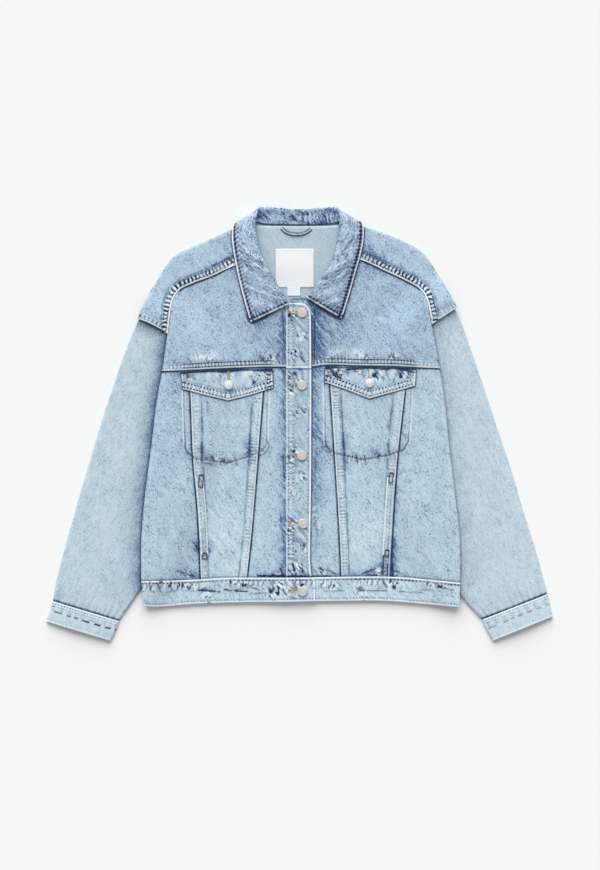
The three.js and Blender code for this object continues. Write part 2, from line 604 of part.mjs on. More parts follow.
function collarSection({ seam, roll, edge, rise, lies }) {
  const half = COLLAR_WALL / 2;
  const surface = (x, y) => (x < 0 ? rightTop(x, y) : frontTop(x, y));
  const outX = (edge[0] - roll[0]) / Math.hypot(edge[0] - roll[0], edge[1] - roll[1]);
  const outY = (edge[1] - roll[1]) / Math.hypot(edge[0] - roll[0], edge[1] - roll[1]);
  const along = (t) => [mix(roll[0], edge[0], t), mix(roll[1], edge[1], t)];
  const stand = [mix(seam[0], roll[0], 0.5), mix(seam[1], roll[1], 0.5)];
  if (lies > 0) {
    const ground = Math.max(surface(roll[0], roll[1]), surface(...along(0.3)));
    const crown = ground + rise;
    const seamZ = surface(...seam) + LAY + half;
    const fall = FALL_SHARES.map((t) => {
      const [x, y] = along(t);
      return [x, y, surface(x, y) + LAY + half + (rise - half - LAY) * Math.cos((Math.PI / 2) * t) ** 1.3];
    });
    return [
      [...seam, seamZ],
      [...stand, mix(seamZ, crown - 2.2, 0.55)],
      [...roll, crown - 2.2],
      [roll[0] + outX * 2.4, roll[1] + outY * 2.4, crown],
      ...fall,
    ];
  }
  const fallZ = lies < 0 ? half : rise;
  return [
    [...seam, lies < 0 ? UNDER_COLLAR + half + 0.1 : rise + 0.6],
    [...stand, mix(UNDER_COLLAR + half, rise, 0.6)],
    [mix(roll[0], stand[0], 0.25), mix(roll[1], stand[1], 0.25), rise],
    [roll[0], roll[1], lies < 0 ? mix(rise, half, 0.5) : rise * 0.75],
    ...FALL_SHARES.map((t) => [...along(t), lies < 0 ? half : mix(rise * 0.6, 3.2, t)]),
  ];
}

// Gives a grid of points a wall, half of it to each side.
function walled(grid, wall) {
  const at = (row, column) => {
    const line = grid[clamp(row, 0, grid.length - 1)];
    return new THREE.Vector3(...line[clamp(column, 0, line.length - 1)]);
  };
  const sides = [1, -1].map((sign) => grid.map((row, r) => row.map((point, c) => {
    const along = at(r + 1, c).sub(at(r - 1, c));
    const before = at(r, c).sub(at(r, c - 1)).normalize();
    const after = at(r, c + 1).sub(at(r, c)).normalize();
    const across = before.add(after);
    const normal = along.cross(across).normalize();
    return new THREE.Vector3(...point).addScaledVector(normal, (sign * wall) / 2).toArray();
  })));
  const rings = grid.map((_, r) => [...sides[0][r], ...reversed(sides[1][r])]);
  const geometry = ringTube(rings, true);
  const index = [...geometry.index.array];
  const columns = grid[0].length;
  const count = columns * 2;
  for (let c = 0; c < columns - 1; c++) {
    const [a, b, d, e] = [c, c + 1, count - 1 - c, count - 2 - c];
    index.push(b, a, d, b, d, e);
    const last = (grid.length - 1) * count;
    index.push(last + a, last + b, last + d, last + b, last + e, last + d);
  }
  geometry.setIndex(index);
  return geometry;
}

function makeCollar() {
  add('collar', facingOut(walled(COLLAR.map(collarSection), COLLAR_WALL)), finish.collar);
}

// Inside the back neck: hanger loop, main label and size label lie on the yoke's wrong side.
function makeNeckPieces() {
  const floor = raised(backTop, SEAM);
  const xs = GRID_X.filter((x) => Math.abs(x) < 110);
  const ys = GRID_Y.filter((y) => y > 150);
  const label = layer(floor, raised(floor, LABEL), xs, ys);
  panel('label_main', label, [[-38, 280], [22.5, 280], [22.5, 219], [-38, 219]], finish.label);
  panel('label_size', label, [[-19, 218.8], [1, 218.8], [1, 205.5], [-19, 205.5]], finish.label);
  const line = smooth([[-29, 314], [-21, 307], [-6, 303.5], [9, 306], [19, 312.5]], 3);
  const loop = [...line, ...reversed(line.map(([x, y]) => [x, y - 5]))];
  panel('hanger_loop', layer(floor, raised(floor, 1.3), xs, ys), loop, finish.denim);
}

// Tack buttons: a domed metal face with a raised rim round a sunk middle.
function buttonProfile(diameter) {
  const r = diameter / 2;
  return [[0, 0], [r * 0.78, 0], [r, 0.9], [r, 2.1], [r * 0.88, 2.9], [r * 0.7, 2.6], [0, 3]]
    .map(([x, y]) => new THREE.Vector2(x, y));
}

const BUTTONS = [
  { name: 'front_button_1', x: 4.5, y: 178 },
  { name: 'front_button_2', x: 4, y: 62 },
  { name: 'front_button_3', x: 3.8, y: -50.5 },
  { name: 'front_button_4', x: 6, y: -159.5 },
  { name: 'front_button_5', x: 5, y: -268 },
  { name: 'flap_button_right', x: -113.5, y: 62.5 },
  { name: 'flap_button_left', x: 112, y: 65.5 },
];

function makeButtons() {
  const topFlap = CLOTH * 2 + SEAM;
  for (const { name, x, y } of BUTTONS) {
    const onFlap = name.startsWith('flap');
    const diameter = onFlap ? FLAP_BUTTON_DIAMETER : BUTTON_DIAMETER;
    const geometry = new THREE.LatheGeometry(buttonProfile(diameter), 16);
    geometry.rotateX(Math.PI / 2);
    const base = onFlap ? (x < 0 ? rightFront : front) : (y < -250 ? rightBand : rightFront);
    const stack = onFlap ? topFlap : (y < -250 ? DOUBLED : PLACKET_WALL);
    const reach = [-diameter / 2, 0, diameter / 2];
    const highest = Math.max(...reach.flatMap((dx) => reach.map((dy) => base(x + dx, y + dy))));
    const mesh = add(name, asGeometry(asSolid(geometry)), onFlap ? finish.flapButton : finish.button);
    mesh.position.set(x, y, highest + stack + SEAM);
  }
}

makeBack();
makeYoke();
makeChest();
makeLowerFronts();
makePlacket();
makePockets();
makeWelts();
makeSleeves();
makeCollar();
makeNeckPieces();
makeButtons();

export default model;
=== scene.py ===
# Denim jacket laid flat, front up: cloth panels, seams, stitching, buttons and labels.
# Tables are in millimetres in the jacket's frame: +X to the wearer's left, +Y to the collar, +Z up.
import functools
import math

import bpy
import numpy as np
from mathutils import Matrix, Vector


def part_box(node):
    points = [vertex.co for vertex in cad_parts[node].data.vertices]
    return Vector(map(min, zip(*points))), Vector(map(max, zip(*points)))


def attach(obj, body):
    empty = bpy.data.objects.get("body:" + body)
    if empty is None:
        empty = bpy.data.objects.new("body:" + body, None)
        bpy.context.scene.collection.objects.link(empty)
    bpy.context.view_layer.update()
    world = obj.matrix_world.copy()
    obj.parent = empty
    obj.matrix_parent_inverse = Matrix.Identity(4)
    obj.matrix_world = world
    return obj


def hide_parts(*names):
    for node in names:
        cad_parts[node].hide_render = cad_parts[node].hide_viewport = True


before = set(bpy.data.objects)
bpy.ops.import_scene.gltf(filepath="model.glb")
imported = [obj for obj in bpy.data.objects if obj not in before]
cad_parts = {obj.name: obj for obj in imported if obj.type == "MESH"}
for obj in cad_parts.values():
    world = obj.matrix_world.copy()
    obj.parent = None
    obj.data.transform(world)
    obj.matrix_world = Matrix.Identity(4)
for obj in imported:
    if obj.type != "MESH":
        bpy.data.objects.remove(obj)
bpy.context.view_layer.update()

MM = 0.001

# Half the jacket's length, the walls of its cloth, the gap between two layers and a panel's turned-in edge
HALF_LENGTH = 347.2
CLOTH = 1.6
PLACKET_WALL = 2.0
BAND_WALL = 2.4
COLLAR_WALL = 2.0
LAY = 0.4
TURNED_EDGE = 5.0

# How far the fronts stand off the back, and how far in from the side they reach that height
BODY_LOFT = 2.2
LOFT_REACH = 60.0

# Heights of the sleeves and cuffs, of their folded sides, and of the body where it lies over a sleeve
# or over the collar
SLEEVE_TOP = 8.2
CUFF_TOP = 8.8
FOLD_EDGE = 5.4
OVER_SLEEVE = SLEEVE_TOP + 0.8
UNDER_COLLAR = 2.7
LIFT_RAMP = 52.0

# Where the right front starts to rise over the left one and is all the way up, and by how much
LAP_FAR = 75.0
LAP_NEAR = 21.0
LAP_RISE = CLOTH + LAY
BAND_LAP_RISE = BAND_WALL + LAY

# How high a flap, a welt, a pocket bag and a label lie over the cloth below them
FLAP_LIFT = 0.3 + CLOTH
WELT_LIFT = 1.3
BAG_LIFT = LAY + 1.0
LABEL_LIFT = 1.3

# Spacing of the points in mm: on the body, on the sleeves, on small pieces and on the hidden back
STEP = 1.5
SLEEVE_STEP = 2.0
CUFF_STEP = min(SLEEVE_STEP, 1.1)
PLACKET_STEP = min(STEP, 1.05)
FLAP_STEP = min(STEP, 0.85)
BACK_STEP = 6.0
BAG_STEP = 8.0

# Outlines seen from above, each a short run of points on a smooth edge.
EDGE = {
    "bodyRight": [(-211, 144), (-220, 82), (-228, 38), (-237, -37), (-247, -115), (-253, -190), (-253, -246)],
    "bodyLeft": [(212, 160), (226, 78), (233, 30), (240, -38), (249, -115), (257, -191), (257, -250)],
    "shoulderRight": [(-76, 316.5), (-110, 310), (-136, 299), (-175, 282), (-197, 271), (-211, 257),
                      (-226, 233), (-242, 206), (-260, 169)],
    "shoulderLeft": [(72, 318), (103, 315), (132, 306), (166, 293), (195, 276), (206, 264), (222, 239),
                     (238, 212), (252, 186)],
    "armholeRight": [(-260, 169), (-244, 163), (-226, 154), (-211, 144)],
    "armholeLeft": [(252, 186), (233, 174), (212, 160)],
    "yokeSeamRight": [(-92, 263), (-136, 239), (-170, 226), (-192, 215), (-203, 198), (-208, 170),
                      (-211, 144)],
    "yokeSeamLeft": [(84, 271), (132, 248), (166, 232), (192, 217), (202, 204), (208, 182), (212, 160)],
    "necklineRight": [(-21, 193), (-34, 212), (-48, 232), (-62, 256), (-72, 280), (-76, 300), (-76, 316.5)],
    "necklineLeft": [(13, 201), (28, 214), (42, 232), (55, 254), (65, 278), (70, 298), (72, 318)],
    "chestSeam": [(-260, 84), (-188, 86), (-114, 90), (-47, 92), (17, 92), (39, 95), (97, 94), (154, 93),
                  (186, 91), (260, 88)],
    "waistSeam": [(-262, -252), (-174, -250), (-125, -247), (-60, -246.5), (22, -246), (71, -245),
                  (146, -245), (202, -249), (264, -255)],
    "hem": [(-262, -288), (-246, -291), (-223, -292), (-174, -288), (-108, -285.5), (-27, -284.5),
            (22, -283.5), (71, -283), (137, -283), (202, -288), (254, -292.5), (266, -292)],
    "taperOuterRight": [(-177, 95), (-174, 50), (-170, -49), (-162, -144), (-157, -256)],
    "taperInnerRight": [(-56, 95), (-59, 52), (-67, -51), (-77, -171), (-86, -256)],
    "taperInnerLeft": [(47, 98), (50, 58), (57, -51), (65, -184), (68, -256)],
    "taperOuterLeft": [(171, 98), (168, 55), (155, -65), (147, -184), (143, -258)],
    "backTaperRight": [(-140, 152), (-122, -256)],
    "backTaperLeft": [(140, 152), (122, -256)],
    "backYokeSeam": [(-270, 150), (270, 150)],
    "placketInner": [(-21, 220), (-21, -320)],
    "placketEdge": [(18, 171), (18.5, 92), (18.5, -12), (18, -116), (16.5, -216), (18, -237), (19.5, -248)],
    "leftFrontEdge": [(-14, 240), (-14, -320)],
    "bandEnd": [(20, -240), (24, -254), (24, -310)],
}
PLACKET_TOP = 193.0

# Sleeves from armhole to cuff. Columns: outer fold x, y; inner fold x, y, hidden under the body.
SLEEVE_RIGHT = [
    (-253, 178, -176, 128), (-267, 145, -163, 92), (-276, 124, -159, 54), (-295, 70, -163, 4),
    (-316, 6, -172, -44), (-337, -63, -186, -102), (-358, -136, -204, -166), (-377, -203, -229, -226),
    (-389, -251, -258, -270), (-395, -283, -289, -315),
]
SLEEVE_LEFT = [
    (244, 194, 177, 142), (260, 160, 164, 104), (273, 122, 160, 60), (295, 58, 165, 4),
    (316, -6, 174, -48), (338, -72, 187, -104), (359, -143, 205, -168), (377, -200, 230, -230),
    (390, -247, 262, -280), (396.5, -272, 292, -313),
]
CUFF_RIGHT = [(-395.1, -283.5, -289, -315.5), (-400, -300, -294, -331), (-405.6, -316, -302, -347.2)]
CUFF_LEFT = [(396.6, -272.5, 292, -313.5), (401, -290, 299, -329), (405.6, -308, 309, -347.2)]
# The collar's fall as it lies under the back of the neck
FALL_PLAN = [(-112, 322), (-108, 300), (-94, 276), (-60, 266), (0, 262), (60, 266), (90, 276), (106, 300),
             (110, 324)]

# Collar from one front end round the neck to the other. Columns: seam; roll line; fall edge; rise; how it
# lies, 1 on the fronts and -1 behind the neck.
COLLAR = [
    ((-22, 191), (-18, 191), (-78, 163), 5.5, 1), ((-34, 208), (-27, 208), (-84, 183), 7.5, 1),
    ((-48, 229), (-39, 227), (-92, 212), 8.5, 1), ((-62, 253), (-52, 251), (-99, 242), 9, 1),
    ((-71, 278), (-63, 276), (-104, 268), 9, 1), ((-75, 298), (-69, 299), (-107, 288), 9, 1),
    ((-75.5, 310), (-71, 317), (-108, 303), 8.5, 1), ((-74, 321.5), (-68, 338), (-107, 313), 6, 1),
    ((-71, 323), (-66, 344), (-104, 319), 4.5, 0), ((-66, 322), (-63, 346.2), (-96, 319), 4.6, -1),
    ((-56, 320), (-52, 346.2), (-84, 297), 5.6, -1), ((-40, 319.2), (-36, 345), (-52, 277), 6.4, -1),
    ((-14, 318.6), (-12, 342.6), (-16, 269), 6.6, -1), ((14, 318.6), (12, 342.8), (16, 269), 6.6, -1),
    ((38, 319.4), (36, 345), (52, 277), 6.4, -1), ((52, 320.6), (50, 346.2), (82, 298), 5.6, -1),
    ((61, 322.6), (58, 346.2), (92, 319.5), 4.6, -1), ((67, 324), (62, 343.5), (99, 321), 4.5, 0),
    ((70, 322.5), (64, 336), (102, 315.5), 6, 1), ((71, 311), (64, 316), (102.5, 305), 8.5, 1),
    ((69, 297), (62, 298), (101, 288), 9, 1), ((64, 276), (56.5, 273), (96, 266), 9, 1),
    ((55, 252), (46, 248), (89, 242), 9, 1), ((41, 231), (33, 229), (81, 213), 8.5, 1),
    ((27, 213), (21, 211), (73, 186), 7.5, 1), ((14, 199), (11, 202), (67, 169), 5.5, 1),
]

# Folds in the cloth, soft ridges and troughs. Columns: from x, y; to x, y; width; height.
FOLDS = [
    (-300, 60, -352, -120, 26, -1.0), (-352, -150, -392, -270, 22, -1.2),
    (-318, -60, -268, -150, 24, -0.9), (300, 40, 350, -130, 26, -1.0),
    (352, -150, 384, -260, 22, -1.2), (268, -90, 330, -170, 24, -0.9),
    (-205, 20, -225, -150, 30, 0.8), (205, 10, 222, -160, 30, 0.8),
    (-110, -90, -120, -230, 34, 0.8), (105, -80, 112, -225, 34, 0.8),
    (-40, 40, -46, -120, 20, 0.6), (36, 30, 34, -140, 18, 0.6),
]


def clamp01(t):
    return np.clip(t, 0.0, 1.0)


def smoothstep(t):
    c = clamp01(t)
    return c * c * (3 - 2 * c)


def mix(a, b, t):
    return a + (b - a) * t


def ramp(value, low, high):
    """0 at low and 1 at high, with soft ends; low may be the larger one."""
    return smoothstep((value - low) / (high - low))


# Plane curves
def smooth(points, pieces=8):
    """A smooth curve through the points: centripetal Catmull-Rom, with so many pieces between two points."""
    p = np.array(points, float)
    if len(p) < 3:
        return p
    p = np.vstack([2 * p[0] - p[1], p, 2 * p[-1] - p[-2]])
    out = []
    for i in range(1, len(p) - 2):
        a, b, c, d = p[i - 1:i + 3]
        ta = 0.0
        tb = ta + math.sqrt(np.linalg.norm(b - a))
        tc = tb + math.sqrt(np.linalg.norm(c - b))
        td = tc + math.sqrt(np.linalg.norm(d - c))
        t = np.linspace(tb, tc, pieces, endpoint=False)[:, None]
        ab = (tb - t) / (tb - ta) * a + (t - ta) / (tb - ta) * b
        bc = (tc - t) / (tc - tb) * b + (t - tb) / (tc - tb) * c
        cd = (td - t) / (td - tc) * c + (t - tc) / (td - tc) * d
        abc = (tc - t) / (tc - ta) * ab + (t - ta) / (tc - ta) * bc
        bcd = (td - t) / (td - tb) * bc + (t - tb) / (td - tb) * cd
        out.append((tc - t) / (tc - tb) * abc + (t - tb) / (tc - tb) * bcd)
    out.append(p[-2][None])
    return np.vstack(out)


def length_along(points):
    return np.concatenate([[0], np.cumsum(np.linalg.norm(np.diff(points, axis=0), axis=1))])


def resampled(points, s, shares):
    """Rows of numbers at shares of a line's length, where s is the length at each row."""
    return np.stack([np.interp(np.asarray(shares) * s[-1], s, column) for column in points.T], -1)


def at_shares(points, shares):
    """Points at shares of a polyline's length."""
    return resampled(points, length_along(points), shares)


def near(x, y, points):
    """Distance from a polyline, and how far along it the nearest point is."""
    points = np.asarray(points, float)
    s = length_along(points)
    best = np.full(np.shape(x), 1e9)
    along = np.zeros(np.shape(x))
    for (ax, ay), (bx, by), start in zip(points[:-1], points[1:], s[:-1]):
        dx, dy = bx - ax, by - ay
        size = dx * dx + dy * dy
        if size < 1e-12:
            continue
        t = clamp01(((x - ax) * dx + (y - ay) * dy) / size)
        d = np.hypot(x - ax - t * dx, y - ay - t * dy)
        closer = d < best
        best = np.where(closer, d, best)
        along = np.where(closer, start + t * math.sqrt(size), along)
    return best, along


def inside(x, y, ring):
    """True where a point lies inside a closed outline."""
    odd = np.zeros(np.shape(x), bool)
    for (ax, ay), (bx, by) in zip(ring, list(ring[1:]) + [ring[0]]):
        if ay == by:
            continue
        odd ^= ((ay > y) != (by > y)) & (x < (bx - ax) * (y - ay) / (by - ay) + ax)
    return odd


def outside_by(x, y, ring):
    """Distance outside a closed outline, 0 inside it."""
    away, _ = near(x, y, list(ring) + [ring[0]])
    return np.where(inside(x, y, ring), 0.0, away)


def crossing(first, second):
    """The point where two polylines cross."""
    for a, b in zip(first[:-1], first[1:]):
        for c, d in zip(second[:-1], second[1:]):
            u, v = b - a, d - c
            cross = u[0] * v[1] - u[1] * v[0]
            if abs(cross) < 1e-12:
                continue
            t = ((c[0] - a[0]) * v[1] - (c[1] - a[1]) * v[0]) / cross
            s = ((c[0] - a[0]) * u[1] - (c[1] - a[1]) * u[0]) / cross
            if -1e-9 <= t <= 1 + 1e-9 and -1e-9 <= s <= 1 + 1e-9:
                return a + t * u
    raise ValueError("edges do not cross")


def run_between(points, start, end):
    """The stretch of a polyline between two points on it, from start to end."""
    _, s0 = near(start[0], start[1], points)
    _, s1 = near(end[0], end[1], points)
    s = length_along(points)
    low, high = min(s0, s1), max(s0, s1)
    keep = points[(s > low + 0.05) & (s < high - 0.05)]
    if s0 > s1:
        keep = keep[::-1]
    return np.vstack([start, keep, end])


CURVE = {name: smooth(points) for name, points in EDGE.items()}
CURVE["sideRight"] = np.vstack([CURVE["armholeRight"], CURVE["bodyRight"][1:], [(-248, -300)]])
CURVE["sideLeft"] = np.vstack([CURVE["armholeLeft"], CURVE["bodyLeft"][1:], [(254.5, -302)]])


# Heights of the layers
def sleeve_plan(rows):
    return [(a, b) for a, b, _, _ in rows] + [(c, d) for _, _, c, d in reversed(rows)]


SLEEVE_PLANS = [sleeve_plan(SLEEVE_RIGHT), sleeve_plan(SLEEVE_LEFT)]
SIDES = [
    np.array(EDGE["shoulderRight"] + EDGE["bodyRight"] + [(-243, -300)], float),
    np.array(EDGE["shoulderLeft"] + EDGE["bodyLeft"] + [(255, -300)], float),
]


def under(x, y):
    """Height of the back's underside, which lies over the sleeves' inner folds and the collar's fall."""
    over_sleeve = 0.0
    for plan in SLEEVE_PLANS:
        over_sleeve = np.maximum(over_sleeve, smoothstep(1 - (outside_by(x, y, plan) - 9) / LIFT_RAMP))
    over_fall = smoothstep(1 - (outside_by(x, y, FALL_PLAN) - 3) / LIFT_RAMP)
    return np.maximum(OVER_SLEEVE * over_sleeve, UNDER_COLLAR * over_fall)


def folds(x, y):
    """Height of the soft ridges, and below zero of the troughs."""
    height = np.zeros(np.shape(x))
    for ax, ay, bx, by, width, rise in FOLDS:
        away, along = near(x, y, [(ax, ay), (bx, by)])
        length = math.hypot(bx - ax, by - ay)
        ends = ramp(along, 0, 0.25 * length) * ramp(along, length, 0.75 * length)
        height += rise * np.exp(-2 * (away / width) ** 2) * (0.35 + 0.65 * ends)
    return height


def stand_off(x, y):
    """The air between back and front, which grows from the sides inwards."""
    d = np.minimum(near(x, y, SIDES[0])[0], near(x, y, SIDES[1])[0])
    return LAY + BODY_LOFT * smoothstep(d / LOFT_REACH)


def back_top(x, y):
    return under(x, y) + CLOTH


def front_top(x, y):
    return back_top(x, y) + stand_off(x, y) + np.maximum(0, folds(x, y)) + CLOTH


def lap(x):
    """From 0 to 1 where the right front rises over the left one."""
    return np.where(x < 0, smoothstep((LAP_FAR + x) / (LAP_FAR - LAP_NEAR)), 1.0)


def right_top(x, y):
    return front_top(x, y) + LAP_RISE * lap(x)


def left_band_top(x, y):
    return front_top(x, y) + BAND_WALL - CLOTH


def right_band_top(x, y):
    return front_top(x, y) + BAND_LAP_RISE * lap(x) + BAND_WALL - CLOTH


def placket_top(x, y):
    return right_top(x, y) + PLACKET_WALL - CLOTH


def plus(surface, lift):
    return lambda x, y: surface(x, y) + lift


def height_at(surface, x, y):
    return float(surface(np.array(x), np.array(y)))


# Noise along a seam and over the cloth, from fixed seeds
def wander(s, period, seed):
    """Smooth random values from 0 to 1 along a line, with one value every period."""
    knots = np.random.default_rng(seed).random(int(3000 / period) + 4)
    t = np.asarray(s) / period
    i = np.floor(t).astype(int) % (len(knots) - 1)
    f = t - np.floor(t)
    return mix(knots[i], knots[i + 1], f * f * (3 - 2 * f))


def blotches(x, y, size, seed):
    """Smooth random values from 0 to 1 over the plane."""
    rng = np.random.default_rng(seed)
    cells = int(1200 / size) + 8
    grid = rng.random((cells, cells))
    u, v = (x + 560) / size, (y + 560) / size
    i, j = np.floor(u).astype(int), np.floor(v).astype(int)
    i, j = np.clip(i, 0, grid.shape[0] - 2), np.clip(j, 0, grid.shape[1] - 2)
    fu, fv = u - i, v - j
    fu, fv = fu * fu * (3 - 2 * fu), fv * fv * (3 - 2 * fv)
    return mix(mix(grid[i, j], grid[i + 1, j], fu), mix(grid[i, j + 1], grid[i + 1, j + 1], fu), fv)


def streaks_of(along, across, size, seed):
    """Uneven short streaks: two sizes of blotches over stretched coordinates, about 0.5."""
    large = blotches(along, across, size, seed)
    small = blotches(along + 40, across + 40, 0.55 * size, seed + 1)
    return 0.62 * large + 0.38 * small


def uneven(s, period, seed, least):
    """Smooth random strength from least to 1 along a line."""
    return least + (1 - least) * wander(s, period, seed)


def ripple(s, period, drift, drift_period, seed, turn=0.0):
    """A sine wave along a line whose spacing drifts."""
    return np.sin(2 * math.pi * (s / period + drift * wander(s, drift_period, seed)) + turn)


def bump_at(d, centre, width):
    """1 at the centre, falling off smoothly on both sides."""
    return np.exp(-(((d - centre) / width) ** 2))


# Looks. Each gives relief in mm, pale wear, navy creases with painted shadow lines, and how dark the wash is
# with painted shade, at every point.
def lay_over(below, above):
    """One look laid over another."""
    return (below[0] + above[0], np.maximum(below[1], above[1]), np.maximum(below[2], above[2]),
            below[3] + above[3])


def all_looks(*looks):
    """Looks laid over each other."""
    def look(x, y):
        return functools.reduce(lay_over, [part(x, y) for part in looks])
    return look


def seam_look(kind, *args, **settings):
    """The look of one edge, from the distance d to it and the length s along it."""
    return lambda d, s: kind(d, s, *args, **settings)


def lapped(d, s, width, seed, pucker=0.4, pale=1.0, dash=0.8, period=7.0, inner=None,
           steady=0.3, cross=1.0, dotted=1.0, narrow=0.0, drift=1.2):
    """The upper edge of a seam: turned under, with two rows of stitching and puckers between them."""
    inner = 0.6 * dash if inner is None else inner
    width = width - narrow * ramp(s, 320, 0)
    band = ramp(d, width + 2.2, width - 0.2)
    wave = ripple(s, period, drift, 26, seed, turn=0.9 * (wander(s + 3.1 * d, 9, seed + 8) - 0.5) * 2)
    strength = steady + (1 - steady) * ramp(wander(s, 24, seed + 1), 0.45 - steady, 0.9 - 0.5 * steady)
    across = ramp(d, 1.8, 3.4) * ramp(d, width + 1.0, width - 1.5)
    rows = bump_at(d, 3.2, 1.0) + bump_at(d, width - 1.2, 1.0)
    relief = 0.75 * band * np.sqrt(clamp01(d / 1.2 + 0.15)) - 0.25 * rows + pucker * wave * strength * across
    white = pale * ramp(d, 3.1, 1.5) * uneven(s, 11, seed + 2, 0.75)
    white = white + 0.55 * pale * across * clamp01(wave + 0.25) * (0.5 + 0.5 * strength)
    dashes = clamp01(-wave * 2.6 - 0.6) * strength * (0.35 + 0.65 * ramp(wander(s, 13, seed + 3), 0.2, 0.7))
    dots = ramp(np.sin(2 * math.pi * s / 5.2), -0.6, 0.4)
    navy = 1.9 * dash * cross * across * dashes
    navy = navy + 0.95 * dash * dotted * rows * dots * uneven(s, 14, seed + 5, 0.35)
    ragged = ramp(wander(s, 8, seed + 4) + 0.5 * wander(s, 60, seed + 9), 0.35, 1.0)
    edge_line = inner * bump_at(d, width + 1.6 + 0.8 * wander(s, 12, seed + 7), 1.5) * (0.25 + 0.95 * ragged)
    outside = ramp(d, width + 12, width) * wander(s, 28, seed + 6) * ramp(d, width - 1, width + 1)
    return relief, white * (1 - clamp01(navy)), navy + edge_line, -0.10 * band + 0.22 * dash * outside


def tucked(d, s, seed, line=1.0, shade=0.5, reach=7.0):
    """The lower side of a seam: a deep blue painted shadow line at the edge, and painted shade that fades
    from it.
    """
    # navy here is a painted shadow line, and dark is painted shade falling off from the edge
    navy = 1.3 * line * ramp(d, 4.3, 1.9) * uneven(s, 13, seed, 0.75)
    dark = 1.2 * shade * np.exp(-d / reach) * uneven(s, 17, seed + 1, 0.45)
    relief = -0.5 * bump_at(d, 0, 2.2)
    ticks = clamp01(ripple(s, 7.0, 1.2, 26, seed + 2) - 0.35)
    ticks = ticks * ramp(d, 10.0, 2.0) * shade * ramp(wander(s, 23, seed + 3), 0.3, 0.8)
    return relief, np.zeros(np.shape(d)), navy + 1.1 * ticks, dark


def turned(d, s, seed, width=3.2, pale=0.8, dash=0.5):
    """A free edge, folded over and stitched once near it."""
    fold = ramp(d, width + 2, width) * np.sqrt(clamp01(d / 1.2 + 0.15))
    relief = 0.45 * fold - 0.3 * bump_at(d, width, 0.8)
    white = 1.1 * pale * ramp(d, 2.9, 1.3) * uneven(s, 12, seed, 0.8)
    tick = clamp01(ripple(s, 6.2, 1.0, 30, seed + 1) + 0.1)
    navy = 1.2 * dash * bump_at(d, width + 0.9, 1.1) * (0.2 + 0.8 * tick) * uneven(s, 21, seed + 2, 0.3)
    return relief, white, navy, np.zeros(np.shape(d))


def folded(d, s, seed):
    """A soft fold where the cloth runs on to the back, with a painted shade line along the fold."""
    white = 0.12 * ramp(d, 7, 3) * wander(s, 40, seed)
    # The last value is painted shade along the fold's edge
    return -1.5 * bent_down(d, 4.0), white, np.zeros(np.shape(d)), 0.25 * ramp(d, 3.0, 0.5)


def bent_down(d, reach):
    """From 1 at an edge to 0 at reach, like a quarter of a circle."""
    return 1 - np.sqrt(clamp01(1 - (1 - clamp01(d / reach)) ** 2))


# Large darker or paler places in the wash. Columns: from x, y; to x, y; width; strength, dark where positive.
WASH = [
    (26, 195, 25, 100, 10, 0.80), (34, 175, 30, 125, 17, 0.24), (24, 88, 22, -20, 12, 0.55),
    (36, -10, 30, -120, 14, 0.22), (25, -10, 24, -100, 9, 0.32), (24, -110, 22, -246, 12, 0.14),
    (-25, 165, -25, 100, 9, 0.55), (-26, 90, -25, 20, 9, 0.32), (-26, 10, -25, -60, 10, 0.34),
    (-25, -60, -25, -150, 9, 0.30), (-26, -150, -26, -200, 9, 0.34), (-25, -200, -25, -246, 9, 0.35),
    (-60, 150, -34, 115, 30, 0.22), (60, 150, 40, 120, 30, 0.22), (-84, 255, -60, 215, 10, 0.35),
    (90, 262, 72, 200, 10, 0.35), (-118, -170, -120, -235, 36, -0.16), (108, -165, 108, -235, 36, -0.12),
    (-210, -100, -225, -230, 30, -0.08), (-157, -194, -151, -199, 12, 1.0),
    (-188, -232, -168, -240, 8, 0.35), (152, -100, 147, -160, 8, 0.5), (147, -185, 145, -245, 9, 0.8),
    (135, -225, 112, -240, 8, 0.5),
    (-240, -252, -130, -252, 14, 0.12), (60, -244, 130, -244, 7, 0.40), (-50, -243, 10, -243, 8, 0.40),
    (-196, 90, -206, 40, 12, 0.15), (118, -45, 150, -46, 9, 0.3), (-160, -42, -140, -56, 9, 0.4),
    (-82, -30, -78, -60, 8, 0.40), (70, -20, 73, -66, 8, 0.40), (52, 114, 94, 114, 8, -0.5),
    (-168, 108, -138, 108, 7, -0.4), (-52, 107, -30, 107, 6, -0.3), (-23.5, 150, -23.5, -246, 3, 0.40),
    (92, 285, 128, 268, 13, 0.28),
]


